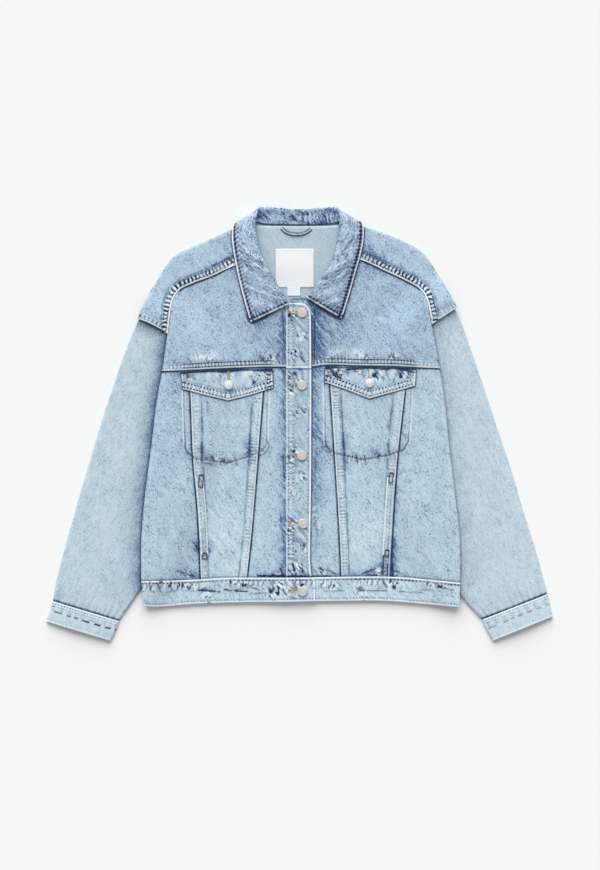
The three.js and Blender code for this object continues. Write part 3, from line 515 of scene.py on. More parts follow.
# Deep blue strokes where the cloth is creased hardest. Columns: from x, y; to x, y; width; strength.
STROKES = {
    "pocket_flap_left": [
        (45, 84, 68, 78, 2.6, 1.0), (44, 77, 70, 80, 1.8, 0.8), (74, 87, 110, 89, 4.4, 1.1),
        (116, 89, 142, 87, 3.6, 1.0), (160, 88, 184, 82, 4.4, 1.1), (138, 84, 144, 70, 1.7, 0.7),
        (154, 80, 150, 66, 1.6, 0.6), (47, 89, 66, 73, 4.5, 0.95), (44, 86, 50, 73, 3, 0.8),
        (62, 88, 78, 81, 3, 0.7), (99, 87, 104, 73, 1.8, 0.6), (119, 88, 134, 72, 2.4, 0.7),
        (129, 88, 140, 76, 1.8, 0.5), (154, 88, 165, 73, 2, 0.6), (173, 88, 182, 72, 2.2, 0.6),
        (48, 90, 182, 88, 3.2, 0.9),
    ],
    "pocket_flap_right": [
        (-188, 82, -150, 86, 2.8, 1.0), (-76, 86, -46, 84, 3.0, 1.0), (-184, 82, -166, 71, 3, 0.55),
        (-80, 77, -71, 65, 3.4, 0.6), (-132, 74, -126, 62, 3, 0.35), (-186, 83, -46, 87, 3.0, 0.9),
        (-64, 84, -54, 74, 2.0, 0.5),
    ],
    "placket": [
        (2, 108, 8, 99, 3, 0.8), (-12, 106, -7, 98, 2.4, 0.6), (-12, 90, 4, 86, 2.6, 0.7),
        (-18, 84, -9, 76, 2.6, 0.8), (-19, 66, -10, 58, 2.6, 0.8), (-4, 34, 8, 20, 1.8, 0.4),
        (-18, -44, -8, -54, 2.8, 0.8), (-18, -60, -6, -66, 2.4, 0.6), (0, -22, 8, -36, 1.8, 0.4),
        (-18, -150, -8, -156, 2.8, 0.8), (-18, -170, -6, -176, 2.4, 0.6), (-16, -186, 2, -190, 2.4, 0.5),
        (-18, -214, -6, -220, 2.4, 0.6), (-2, -234, 12, -242, 2.4, 0.7),
        (-19, -243.5, 15, -243.5, 3.8, 1.1), (-18, -232, -10, -242, 2.8, 0.8),
        (-19, 184, -11, 170, 3.4, 0.8), (-16, 164, -6, 154, 2.2, 0.5), (4, 154, 12, 142, 2, 0.4),
    ],
    "pocket_panel_right": [
        (-156, 10, -155, -18, 2.8, 0.7), (-156, -30, -156, -60, 4, 0.9), (-150, -62, -142, -64, 4, 0.6),
        (-79, -16, -80, -54, 3.6, 0.9), (-77.5, 24, -78.5, -14, 2.4, 0.6),
        (-120, -54, -118, -64, 2.4, 0.8), (-104, -54, -100, -64, 2.4, 0.7),
        (-140, -52, -136, -62, 2.4, 0.7), (-158, -188, -148, -200, 5, 0.9),
        (-160, -200, -144, -204, 4, 0.8), (-148, 36, -146, 16, 2.2, 0.4),
    ],
    "pocket_panel_left": [
        (66.5, 45, 69.5, -10, 2.6, 0.6), (69.5, -14, 72, -50, 3.6, 0.9), (72, -52, 73.5, -76, 5, 0.5),
        (90, -50, 92, -60, 2.4, 0.8), (104, -50, 106, -62, 2.4, 0.8), (124, -46, 128, -58, 2.4, 0.7),
        (140, -30, 144, -48, 3, 0.7), (146, -86, 143, -120, 3, 0.8), (141, -140, 139, -176, 3, 0.7),
        (136, -196, 133, -240, 4, 0.9), (141, -226, 140, -247, 3, 1.0), (120, -232, 100, -240, 4, 0.7),
        (70, -244, 116, -244.5, 2.6, 0.6), (146, 20, 142, -8, 2.2, 0.5),
    ],
    "side_panel_left": [
        (158, -6, 168, -20, 3, 0.7), (150, -196, 146, -244, 4, 0.9), (149, -222, 149, -248, 5, 1.0),
        (160, -238, 172, -243, 3, 0.4),
    ],
    "side_panel_right": [
        (-184, -36, -179, -48, 2.4, 0.7), (-196, -235, -170, -243, 3, 0.6),
        (-176, -236, -166, -246, 2.6, 0.6), (-166, -194, -160, -204, 5, 0.9),
    ],
    "inner_panel_right": [
        (-52, -24, -49, -36, 1.5, 0.8), (-49, -36, -54, -47, 1.5, 0.8), (-54, -47, -63, -50, 1.6, 0.8),
        (-30, -232, -26, -246, 4, 0.9), (-66, -243, -24, -243.5, 4.6, 1.4), (-28, 96, -25, 70, 3, 0.6),
        (-27, 40, -24, 10, 3, 0.5), (-27, -50, -24, -92, 3, 0.6), (-30, -150, -25, -190, 3, 0.5),
    ],
    "inner_panel_left": [
        (42, -30, 50, -46, 3, 0.8), (36, 10, 44, -6, 2.6, 0.5), (26, -52, 24, -90, 3, 0.5),
        (24, -150, 30, -180, 2.6, 0.4), (40, -232, 58, -240, 3, 0.6), (20, -243.5, 50, -243.5, 3.4, 0.9),
    ],
    "chest_panel_right": [
        (-36, 108, -32, 98, 2.4, 0.7), (-60, 108, -57, 98, 2, 0.6), (-27, 180, -24, 110, 2.6, 0.6),
        (-178, 104, -173, 98, 2.4, 0.7), (-148, 108, -146, 99, 1.8, 0.5), (-206, 184, -211, 152, 2.8, 0.9),
    ],
    "chest_panel_left": [
        (24, 184, 24, 104, 3.2, 0.8), (107, 112, 112, 103, 2.4, 0.8), (98, 108, 102, 101, 2.2, 0.7),
        (-13, 199.5, 5, 200, 2.0, 0.9), (-13, 196, 0, 194, 1.6, 0.5), (146, 114, 153, 103, 2.2, 0.7),
        (168, 110, 171, 102, 2, 0.5), (36, 112, 42, 100, 2.2, 0.5), (210, 178, 213, 156, 2.4, 0.8),
    ],
    "waistband_front_right": [
        (-162, -266, -150, -266.5, 2.8, 1.2), (-147, -267, -128, -268.5, 2.8, 1.2),
        (-120, -265, -108, -267, 2.4, 1.1), (-104, -267, -84, -268, 2.8, 1.2),
        (-76, -262, -64, -266, 2.4, 0.8), (-240, -258, -238, -266, 2.4, 0.8),
        (-226, -257, -223, -267, 2.6, 0.8), (-206, -258, -204, -266, 2.4, 0.7),
        (-190, -258, -188, -264, 2.4, 0.6), (-80, -272, -50, -270, 2.2, 0.6),
        (-46, -254, -40, -262, 2.6, 0.7), (-20, -256, -10, -264, 2.6, 0.7),
        (-16, -276, -6, -280, 2.6, 0.6), (-130, -256, -126, -262, 2.4, 0.6),
        (-112, -256, -108, -262, 2.2, 0.5),
    ],
    "waistband_front_left": [
        (40, -268, 70, -267, 2.2, 0.6), (96, -267, 140, -267, 2.2, 0.7), (160, -268, 196, -270, 2.2, 0.6),
        (134, -252, 140, -262, 3, 0.8), (148, -252, 152, -262, 3, 0.8), (60, -252, 66, -260, 2.4, 0.6),
        (230, -262, 246, -266, 2.4, 0.6),
    ],
    "yoke_shoulder_right": [
        (-92, 276, -140, 252, 3.4, 0.8), (-140, 250, -196, 224, 2.4, 0.5), (-84, 300, -96, 280, 4, 0.4),
    ],
    "yoke_shoulder_left": [
        (84, 284, 132, 260, 3.2, 0.7), (134, 260, 190, 234, 2.4, 0.5), (214, 196, 220, 172, 3, 0.6),
    ],
}


def strokes(name):
    table = STROKES.get(name, [])

    def look(x, y):
        zero = np.zeros(np.shape(x))
        relief, navy, dark = zero, zero, zero
        ragged = blotches(x, y, 4.5, 601)
        for ax, ay, bx, by, width, strength in table:
            d, _ = near(x, y, [(ax, ay), (bx, by)])
            depth = strength * bump_at(d, 0, 0.62 * width * (0.25 + 0.75 * ragged))
            navy = np.maximum(navy, 1.25 * depth)
            relief = np.minimum(relief, -0.22 * depth)
            dark = np.maximum(dark, 0.24 * strength * bump_at(d, 0, 1.5 * width))
        return relief, zero, navy, dark
    return look


# Bunches of short creases. Columns: centre x, y; half length along the creases; half width across them;
# the creases' angle in degrees; spacing; strength.
CRUMPLES = {
    "placket": [
        (-11, 174, 9, 13, -50, 5.0, 1.1), (-8, 112, 10, 12, -60, 5.4, 1.0), (-12, 78, 8, 9, -35, 4.8, 1.0),
        (-12, 50, 8, 9, -35, 4.8, 1.0), (-10, -50, 9, 17, -30, 5.0, 1.1), (-8, -112, 8, 14, 60, 5.2, 0.7),
        (-11, -165, 9, 17, -30, 5.0, 1.1), (-4, -232, 14, 13, -55, 5.2, 1.1), (2, 20, 10, 16, -50, 5.4, 0.6),
        (4, 140, 9, 14, -65, 5.4, 0.7), (4, -85, 10, 14, -50, 5.4, 0.6), (4, -200, 9, 13, -60, 5.2, 0.8),
    ],
    "waistband_front_right": [
        (-30, -263, 14, 28, -60, 5.4, 1.2), (-196, -258, 6.5, 48, 84, 5.0, 1.1),
        (-92, -256, 5, 32, 80, 5.0, 0.9), (-150, -272, 8, 22, 20, 4.6, 0.6), (2, -262, 9, 14, -55, 5.0, 1.0),
    ],
    "waistband_front_left": [
        (148, -257, 7, 15, 70, 5.0, 1.1), (46, -258, 6, 22, 75, 5.0, 0.9), (222, -258, 5, 28, 82, 5.0, 0.8),
        (100, -271, 9, 24, 15, 4.6, 0.5),
    ],
    "pocket_flap_left": [
        (58, 80, 11, 12, -50, 5.2, 1.2), (95, 84, 10, 6, -20, 5.0, 0.8), (126, 79, 9, 15, -45, 5.4, 1.0),
        (168, 80, 10, 13, -40, 5.4, 1.0),
    ],
    "pocket_flap_right": [
        (-74, 70, 9, 6, 60, 5.0, 0.9), (-124, 74, 7, 7, -60, 5.0, 0.7), (-175, 76, 8, 7, -45, 5.0, 0.7),
        (-60, 80, 7, 9, -50, 4.6, 0.8),
    ],
    "chest_panel_left": [
        (102, 106, 6, 12, 70, 4.4, 0.8), (150, 107, 6, 12, -60, 4.4, 0.7), (52, 105, 5, 12, 70, 4.4, 0.7),
    ],
    "chest_panel_right": [
        (-48, 105, 6, 20, -70, 4.6, 0.9), (-150, 104, 5, 26, 75, 4.4, 0.6),
    ],
    "inner_panel_left": [
        (36, -236, 9, 12, -35, 4.6, 0.8), (27, -150, 7, 30, 20, 5.4, 0.4),
    ],
    "inner_panel_right": [
        (-30, -242, 5, 14, 60, 4.0, 0.5),
    ],
    "pocket_panel_left": [
        (126, -238, 14, 7, 15, 4.4, 0.9), (90, -58, 5, 14, 80, 4.2, 0.6), (130, -52, 5, 12, 80, 4.2, 0.6),
    ],
    "pocket_panel_right": [
        (-128, -58, 5, 24, 82, 4.2, 0.7), (-84, -46, 6, 8, 60, 4.4, 0.6),
    ],
    "side_panel_left": [
        (158, -240, 9, 7, -30, 4.6, 0.6),
    ],
    "side_panel_right": [
        (-178, -241, 10, 5, -20, 4.4, 0.8),
    ],
}


def crumples(name):
    table = CRUMPLES.get(name, [])

    def look(x, y):
        zero = np.zeros(np.shape(x))
        relief, white, navy = zero, zero, zero
        for k, (cx, cy, along, across, angle, spacing, strength) in enumerate(table):
            seed = 700 + 7 * k
            turn = math.radians(angle)
            u = (x - cx) * math.cos(turn) + (y - cy) * math.sin(turn)
            v = (y - cy) * math.cos(turn) - (x - cx) * math.sin(turn)
            zone = clamp01(1.5 * np.exp(-((u / along) ** 2 + (v / across) ** 2)) - 0.2)
            bend = 0.7 * spacing * (blotches(x, y, 2.5 * spacing, seed) - 0.5)
            level = streaks_of(0.42 * u, v + bend, 0.52 * spacing, seed + 1)
            valley, crest = ramp(level, 0.44, 0.30), ramp(level, 0.55, 0.70)
            depth = strength * zone
            navy = np.maximum(navy, 1.45 * valley * depth)
            white = np.maximum(white, 0.95 * crest * depth)
            relief = relief + (0.4 * crest - 0.3 * valley) * depth
        return np.clip(relief, -0.4, 0.6), white, navy, zero
    return look


def wash(x, y):
    """How dark the wash is over the whole jacket."""
    dark = np.zeros(np.shape(x))
    for ax, ay, bx, by, width, strength in WASH:
        away, _ = near(x, y, [(ax, ay), (bx, by)])
        dark += strength * bump_at(away, 0, width)
    return dark


# Meshes
def fractions(size, step, fine=0.9, band=13.0):
    """Shares from 0 to 1 over a width in mm: fine steps in a band at both ends, coarser between."""
    if size < 2 * band:
        return np.linspace(0, 1, max(4, int(round(size / fine))) + 1)
    edge = np.arange(0, band, fine)
    middle = np.linspace(band, size - band, max(3, int(round((size - 2 * band) / step)) + 1))
    return np.concatenate([edge, middle, (size - edge)[::-1]]) / size


def coons(edges, step, fine=0.9):
    """Grid between four edges: left and right run upwards, bottom and top run to the right."""
    left, right, bottom, top = (edges[key] for key in ("left", "right", "bottom", "top"))
    width = max(length_along(bottom)[-1], length_along(top)[-1])
    height = max(length_along(left)[-1], length_along(right)[-1])
    u, v = fractions(width, step, fine), fractions(height, step, fine)
    across = mix(at_shares(bottom, u)[None], at_shares(top, u)[None], v[:, None, None])
    up = mix(at_shares(left, v)[:, None], at_shares(right, v)[:, None], u[None, :, None])
    low = mix(bottom[0], bottom[-1], u[:, None])[None]
    high = mix(top[0], top[-1], u[:, None])[None]
    return across + up - mix(low, high, v[:, None, None])


def grid_faces(rows, columns, start=0):
    """Four-sided faces of a grid of points."""
    a = (np.arange(rows - 1)[:, None] * columns + np.arange(columns - 1)[None]).ravel() + start
    return np.stack([a, a + 1, a + columns + 1, a + columns], -1)


def ring_faces(rings, around):
    """Faces of a tube made of rings, each with so many points around."""
    index = np.arange(rings * around).reshape(rings, around)
    following = np.roll(index, -1, axis=1)
    return np.stack([index[:-1], following[:-1], following[1:], index[1:]], -1).reshape(-1, 4)


def join_rings(first, second):
    """Faces between two closed runs of points."""
    return np.stack([first, second, np.roll(second, -1), np.roll(first, -1)], -1)


def wall_faces(rows, columns):
    """Faces of a wall between two grids of points, the second counted after the first."""
    count = rows * columns
    ring = border(rows, columns)
    return np.vstack([grid_faces(rows, columns), grid_faces(rows, columns, count)[:, ::-1],
                      join_rings(ring, ring + count)])


def border(rows, columns):
    """Indices round a grid's border, counter-clockwise."""
    bottom = np.arange(columns)
    right = np.arange(1, rows) * columns + columns - 1
    top = (rows - 1) * columns + np.arange(columns - 2, -1, -1)
    left = np.arange(rows - 2, 0, -1) * columns
    return np.concatenate([bottom, right, top, left])


def make_mesh(name, points, faces, values=None, material=None):
    """A smooth mesh from points in mm. values are named numbers kept on each point for the material."""
    mesh = bpy.data.meshes.new(name)
    points = np.asarray(points, float) * MM
    mesh.vertices.add(len(points))
    mesh.vertices.foreach_set("co", points.astype(np.float32).ravel())
    counts = np.array([len(f) for f in faces], np.int32)
    corners = np.concatenate([np.asarray(f, np.int32) for f in faces])
    mesh.loops.add(len(corners))
    mesh.loops.foreach_set("vertex_index", corners)
    mesh.polygons.add(len(counts))
    mesh.polygons.foreach_set("loop_start", np.concatenate([[0], np.cumsum(counts)[:-1]]).astype(np.int32))
    mesh.polygons.foreach_set("loop_total", counts)
    mesh.update(calc_edges=True)
    mesh.validate()
    mesh.polygons.foreach_set("use_smooth", np.ones(len(counts), bool))
    for key, data in (values or {}).items():
        layer = mesh.attributes.new(key, "FLOAT", "POINT")
        layer.data.foreach_set("value", np.asarray(data, np.float32).ravel())
    piece = bpy.data.objects.new(name, mesh)
    bpy.context.scene.collection.objects.link(piece)
    if material is not None:
        mesh.materials.append(material)
    return piece


def outward_of(line):
    """Unit vectors in the plane to the right of a closed run's direction."""
    way = (np.roll(line, -1, 0) - np.roll(line, 1, 0))[:, :2]
    way /= np.maximum(np.linalg.norm(way, axis=1, keepdims=True), 1e-9)
    return np.stack([way[:, 1], -way[:, 0]], -1)


# The rim's rings. Columns: how far outwards, how far down in shares of the drop.
RIM = [(0.35, 0.45), (0.35, 0.9), (0.0, 1.0), (-TURNED_EDGE, 1.0)]


def turned_rim(grid, tone, drop):
    """Adds a folded-under rim round a grid of points, so that every edge shows the cloth's thickness."""
    rows, columns = grid.shape[:2]
    points = grid.reshape(-1, 3)
    ring = border(rows, columns)
    edge = points[ring]
    outward = outward_of(edge)
    parts, faces = [points], [grid_faces(rows, columns)]
    previous = ring
    for k, (out, down) in enumerate(RIM):
        step = edge.copy()
        step[:, :2] += outward * out
        step[:, 2] -= drop * down
        parts.append(step)
        current = len(points) + k * len(ring) + np.arange(len(ring))
        faces.append(join_rings(previous, current))
        previous = current
    values = {key: np.concatenate([v.ravel()] + [v.ravel()[ring]] * len(RIM)) for key, v in tone.items()}
    return np.vstack(parts), np.vstack(faces), values


def upright(line):
    """The line, turned so that it runs upwards."""
    return line if line[0][1] <= line[-1][1] else line[::-1]


def finish_piece(piece, node):
    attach(piece, "root")
    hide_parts(node)


def panel(name, edges, height, styles, node=None, material="denim", seed=1, step=STEP,
          extra=None, drop=1.3, washed=1.0, tone=0.0):
    """A cloth panel between four edges. styles gives each edge's look by name: left, right, bottom, top."""
    grid = coons(edges, step)
    x, y = grid[..., 0], grid[..., 1]
    zero = np.zeros(x.shape)
    look = (zero, zero, zero, washed * wash(x, y) + tone)
    for side, style in styles.items():
        look = lay_over(look, style(*near(x, y, edges[side])))
    for marks in filter(None, (extra, strokes(name), crumples(name))):
        look = lay_over(look, marks(x, y))
    relief, white, navy, dark = look
    lumps = 0.44 * (blotches(x, y, 34, seed) - 0.5) + 0.20 * (blotches(x, y, 13, seed + 5) - 0.5)
    z = height(x, y) + relief + lumps
    # wash holds the wash with painted shade, and navy holds creases and stitches with painted shadow lines
    values = {"white": white, "navy": navy, "wash": dark}
    points, faces, values = turned_rim(np.dstack([x, y, z]), values, drop)
    piece = make_mesh("cloth_" + name, points, faces, values, MATERIAL[material])
    finish_piece(piece, node or name)


def plan_area(grid):
    """Area in square mm of a grid seen from above."""
    a = (grid[1:, 1:] - grid[:-1, :-1])[..., :2]
    b = (grid[1:, :-1] - grid[:-1, 1:])[..., :2]
    return float(abs(a[..., 0] * b[..., 1] - a[..., 1] * b[..., 0]).sum() / 2)


# Materials
def srgb(r, g, b):
    def channel(c):
        c = c / 255
        return c / 12.92 if c <= 0.04045 else ((c + 0.055) / 1.055) ** 2.4
    return (channel(r), channel(g), channel(b), 1.0)


MATERIAL = {}


class Nodes:
    """A material with a Principled shader, and short calls for building its node tree."""

    def __init__(self, name):
        self.material = bpy.data.materials.new(name)
        self.material.use_nodes = True
        self.tree = self.material.node_tree
        self.tree.nodes.clear()
        self.output = self.add("ShaderNodeOutputMaterial")
        self.shader = self.add("ShaderNodeBsdfPrincipled")
        self.link(self.shader.outputs[0], self.output.inputs[0])
        MATERIAL[name] = self.material

    def add(self, kind, **settings):
        node = self.tree.nodes.new(kind)
        for key, value in settings.items():
            setattr(node, key, value)
        return node

    def link(self, source, target):
        self.tree.links.new(source, target)

    def put(self, value, socket):
        if isinstance(value, bpy.types.NodeSocket):
            self.link(value, socket)
        else:
            socket.default_value = value

    def surface(self, **values):
        """Values or node outputs for the shader's sockets, named with an underscore for a space."""
        for key, value in values.items():
            self.put(value, self.shader.inputs[key.replace("_", " ")])

    def math(self, operation, a, b=0.0, clamp=False):
        node = self.add("ShaderNodeMath", operation=operation, use_clamp=clamp)
        self.put(a, node.inputs[0])
        self.put(b, node.inputs[1])
        return node.outputs[0]

    def sum(self, first, *others, clamp=False):
        for other in others:
            first = self.math("ADD", first, other, clamp and other is others[-1])
        return first

    def times(self, a, b, clamp=False):
        return self.math("MULTIPLY", a, b, clamp)

    def sway(self, noise, amount):
        """Noise about zero, of the given amount."""
        return self.times(self.math("SUBTRACT", noise, 0.5), amount)

    def blend(self, amount, a, b):
        node = self.add("ShaderNodeMix", data_type="RGBA")
        self.put(amount, node.inputs[0])
        self.put(a, node.inputs[6])
        self.put(b, node.inputs[7])
        return node.outputs[2]

    def ramp(self, value, *stops):
        node = self.add("ShaderNodeValToRGB")
        elements = node.color_ramp.elements
        while len(elements) < len(stops):
            elements.new(0.5)
        for element, (position, colour) in zip(elements, stops):
            element.position = position
            element.color = colour
        self.put(value, node.inputs[0])
        return node.outputs[0]

    def attribute(self, name):
        node = self.add("ShaderNodeAttribute", attribute_name=name, attribute_type="GEOMETRY")
        return node.outputs["Fac"]

    def place(self, sizes, turn=0.0):
        """Coordinates counted in the given sizes in mm, along axes turned about Z."""
        coords = self.add("ShaderNodeTexCoord")
        mapping = self.add("ShaderNodeMapping", vector_type="TEXTURE")
        mapping.inputs["Scale"].default_value = tuple(size * MM for size in sizes)
        mapping.inputs["Rotation"].default_value = (0, 0, turn)
        self.link(coords.outputs["Object"], mapping.inputs[0])
        return mapping.outputs[0]

    def noise(self, size, detail=2.0, rough=0.5, stretch=(1, 1, 1), turn=0.0):
        """Noise with features about size mm across."""
        node = self.add("ShaderNodeTexNoise")
        self.link(self.place(tuple(size * s for s in stretch), turn), node.inputs["Vector"])
        node.inputs["Scale"].default_value = 1.0
        node.inputs["Detail"].default_value = detail
        node.inputs["Roughness"].default_value = rough
        return node.outputs["Fac"]

    def bump(self, height, strength, distance):
        """Relief in the shading only, distance mm deep."""
        node = self.add("ShaderNodeBump")
        node.inputs["Strength"].default_value = strength
        node.inputs["Distance"].default_value = distance * MM
        self.link(height, node.inputs["Height"])
        self.link(node.outputs[0], self.shader.inputs["Normal"])


BLACK = (0, 0, 0, 1)
WHITE = (1, 1, 1, 1)


def grey(value):
    return (value, value, value, 1.0)


def denim(name, pale, base, deep, navy, fleck=1.0, lean=-0.95, grain=1.0, streaky=1.0):
    """Washed denim: mottled base, dark flecks, pale worn places, navy creases and painted shadow lines,
    painted shade with the wash, and a twill bump.
    """
    n = Nodes(name)
    # The wash attribute holds the wash with painted shade; navy holds creases and stitches with painted
    # shadow lines
    washed, white, crease = (n.attribute(key) for key in ("wash", "white", "navy"))
    soft = n.noise(30, 2, 0.5)
    cloud = n.noise(9, 3, 0.6, (1.5, 0.9, 1), lean)
    streak = n.noise(4.0, 3, 0.6, (3.6, 0.8, 1), lean)
    mottle = n.noise(2.7, 3, 0.75, (1.35, 0.9, 1), lean)
    specks = n.noise(2.0, 1, 0.6, (1.3, 0.9, 1), lean - 0.2)
    fine = n.noise(1.3, 2, 0.7, (1, 1, 1), lean)
    # Where the wash or the painted shade is dark it is broken by streaks, so the pale threads still show
    broken = n.sum(n.sway(streak, 4.6 * streaky), 0.9)
    broken = n.times(washed, n.math("MAXIMUM", broken, 0.12))
    # Tone: 0 is deep, 1 is pale
    tone = n.sum(n.sway(soft, 0.30), n.sway(cloud, 0.32), n.sway(streak, 0.30), n.sway(mottle, 0.85 * grain),
                 n.sway(fine, 0.8 * grain))
    tone = n.math("SUBTRACT", tone, n.times(broken, 0.72))
    tone = n.sum(tone, 0.62, clamp=True)
    colour = n.ramp(tone, (0.0, deep), (0.34, mid_of(deep, base, 0.62)), (0.62, base), (1.0, pale))
    # Dark flecks come more thickly where the wash or the painted shade is dark
    thick = n.math("SUBTRACT", specks, n.times(broken, 0.12))
    thick = n.sum(thick, n.sway(cloud, 0.5))
    spots = n.ramp(thick, (0.0, WHITE), (0.30, WHITE), (0.40, grey(0)))
    colour = n.blend(n.times(spots, 0.60 * fleck, clamp=True), colour, mid_of(deep, navy, 0.45))
    glints = n.ramp(specks, (0.60, grey(0)), (0.72, WHITE))
    colour = n.blend(n.times(glints, 0.40 * fleck), colour, pale)
    # Worn places, and creases with painted shadow lines, each with a ragged edge
    patch = n.sum(n.sway(mottle, 1.3), 1.0)
    colour = n.blend(n.times(white, patch, clamp=True), colour, mid_of(pale, WHITE, 0.6))
    ragged = n.sum(n.sway(fine, 2.0), 1.0)
    colour = n.blend(n.times(n.times(crease, ragged), 0.95, clamp=True), colour, navy)
    n.surface(Base_Color=colour, Roughness=0.9, Specular_IOR_Level=0.15,
              Sheen_Weight=0.08, Sheen_Roughness=0.5)
    # Twill: fine diagonal ribs over thread noise
    wave = n.add("ShaderNodeTexWave", wave_type="BANDS", bands_direction="DIAGONAL")
    n.link(n.place((2.0, 2.0, 1000.0)), wave.inputs["Vector"])
    wave.inputs["Scale"].default_value = 0.36
    wave.inputs["Distortion"].default_value = 1.2
    wave.inputs["Detail"].default_value = 2.0
    height = n.sum(n.times(wave.outputs["Fac"], 0.4), fine, n.times(mottle, 1.4))
    n.bump(height, 0.5, 0.45)


def mid_of(a, b, t):
    return tuple(mix(p, q, t) for p, q in zip(a, b))


def make_materials():
    navy = srgb(26, 45, 78)
    denim("denim", srgb(206, 225, 234), srgb(173, 196, 212), srgb(88, 115, 154), navy, fleck=1.12, grain=1.14)
    denim("sleeve", srgb(208, 224, 233), srgb(183, 202, 214), srgb(84, 112, 142), navy, fleck=0.55,
          lean=-1.9, grain=0.95, streaky=0.2)
    denim("sleeve_left", srgb(210, 226, 234), srgb(187, 205, 216), srgb(96, 122, 152), navy, fleck=0.55,
          lean=-1.2, grain=0.95, streaky=0.2)
    denim("collar", srgb(206, 224, 238), srgb(160, 185, 207), srgb(66, 98, 142), navy, fleck=1.75, grain=1.6)
    denim("inside", srgb(196, 212, 221), srgb(175, 194, 206), srgb(130, 152, 172), navy, fleck=0.4, grain=0.8)
    for name, colour, worn in (
        ("thread", srgb(120, 146, 176), 0.22),
        ("ochre", srgb(178, 140, 72), 0.22),
        ("dark_thread", srgb(30, 46, 84), 0.05),
    ):
        thread = Nodes(name)
        shades = thread.blend(thread.noise(0.8, 3, 0.6), mid_of(colour, BLACK, 0.25),
                              mid_of(colour, WHITE, worn))
        thread.surface(Base_Color=shades, Roughness=0.75, Sheen_Weight=0.1)
    label = Nodes("label")
    weave = label.noise(0.9, 2, 0.5, (2.5, 0.6, 1))
    satin = label.ramp(weave, (0.2, srgb(226, 226, 227)), (0.8, srgb(244, 244, 245)))
    label.surface(Base_Color=satin, Roughness=0.6, Sheen_Weight=0.15)
    label.bump(weave, 0.3, 0.1)
    for name, bright, dull, rough in (
        ("button", srgb(216, 211, 203), srgb(188, 184, 178), 0.62),
        ("flap_button", srgb(240, 238, 240), srgb(210, 208, 212), 0.5),
    ):
        metal = Nodes(name)
        spot = metal.noise(3.0, 4, 0.6)
        metal.surface(Base_Color=metal.ramp(spot, (0.3, dull), (0.65, bright)),
                      Roughness=metal.sum(metal.times(spot, 0.2), rough - 0.1), Metallic=0.6)
        metal.bump(metal.noise(1.2, 2, 0.6), 0.2, 0.1)


make_materials()


def cross_edges(left, right, bottom, top):
    """The four edges of a panel between named curves."""
    left, right, bottom, top = (CURVE[name] for name in (left, right, bottom, top))
    low_left, low_right = crossing(left, bottom), crossing(right, bottom)
    high_left, high_right = crossing(left, top), crossing(right, top)
    return {
        "left": run_between(left, low_left, high_left), "right": run_between(right, low_right, high_right),
        "bottom": run_between(bottom, low_left, low_right), "top": run_between(top, high_left, high_right),
    }


def rectangle(x0, y0, x1, y1):
    """The four edges of an upright rectangle."""
    return {
        "left": np.array([(x0, y0), (x0, y1)], float), "right": np.array([(x1, y0), (x1, y1)], float),
        "bottom": np.array([(x0, y0), (x1, y0)], float), "top": np.array([(x0, y1), (x1, y1)], float),
    }


# Stitched outline of a chest pocket's bag, seen as a dented line on the front.
BAGS = {
    "right": [(-186, 76), (-184, 10), (-182, -42), (-167, -56), (-114, -62), (-80, -52), (-62, -45),
              (-53, -34), (-50, 76)],
    "left": [(40, 76), (41, 10), (42, -36), (57, -47), (102, -57), (142, -50), (166, -42), (174, -28),
             (180, 76)],
}


def bag_lines(side, seed):
    """The stitched outline of a pocket's bag: a dented dark line with ticks and a pale line inside it."""
    line = np.array(BAGS[side], float)

    def look(x, y):
        d, s = near(x, y, line)
        within = inside(x, y, [tuple(p) for p in line])
        tick = clamp01(ripple(s, 6.5, 1.0, 28, seed) - 0.25)
        bottom = ramp(y, 0, -40)
        relief = 0.35 * within * ramp(d, 0, 3) - 0.45 * bump_at(d, 0, 1.3)
        navy = (0.45 + 0.45 * bottom) * bump_at(d, 0, 1.2) * uneven(s, 18, seed + 1, 0.35)
        navy = navy + bottom * 0.9 * tick * ramp(d, 8.5, 1.0) * ramp(wander(s, 22, seed + 2), 0.2, 0.8)
        white = 0.8 * bump_at(d, 2.4, 1.0) * uneven(s, 15, seed + 3, 0.3) * (1 - 0.6 * within)
        return relief, white, navy, 0.3 * bottom * np.exp(-d / 8)

    return look


# The collar's front edges, which shade the fronts beside them
COLLAR_LINE = {
    "right": smooth([(-21, 193)] + [row[2] for row in COLLAR[:8]]),
    "left": smooth([(13, 201)] + [row[2] for row in COLLAR[:-9:-1]]),
}


def shaded_by(*lines):
    """The painted shadow beside something that lies on a panel: a dark line and a soft dark falloff.
    Each line is points, strength and the seed of its unevenness."""
    def look(x, y):
        zero = np.zeros(np.shape(x))
        relief, navy, dark = zero, zero, zero
        for points, strength, seed in lines:
            d, s = near(x, y, points)
            navy = np.maximum(navy, 1.1 * strength * ramp(d, 3.8, 1.4) * uneven(s, 15, seed, 0.7))
            dark = dark + 0.55 * strength * np.exp(-d / 7) * uneven(s, 24, seed + 1, 0.4)
            relief = relief - 0.4 * strength * bump_at(d, 0, 3.0)
        return relief, zero, navy, dark
    return look


# The chest pockets' flaps, each by its four edges
FLAPS = {
    "right": {
        "top": [(-189, 83.5), (-114, 87.5), (-44, 88.5)], "left": [(-186, 56), (-189, 83.5)],
        "right": [(-43, 58), (-44, 88.5)],
        "bottom": [(-186, 56), (-150, 46.5), (-114, 38), (-78, 47), (-43, 58)],
    },
    "left": {
        "top": [(42, 92.5), (112, 92), (186, 89.5)], "left": [(41, 67), (42, 92.5)],
        "right": [(184, 61), (186, 89.5)], "bottom": [(41, 67), (76, 55), (112, 41), (148, 51), (184, 61)],
    },
}
FLAP_LINE = {side: np.array([flap["left"][1], *flap["bottom"], flap["right"][1]], float)
             for side, flap in FLAPS.items()}

# What lies on each half of the front rests on this surface
SURFACE = {"right": right_top, "left": front_top}

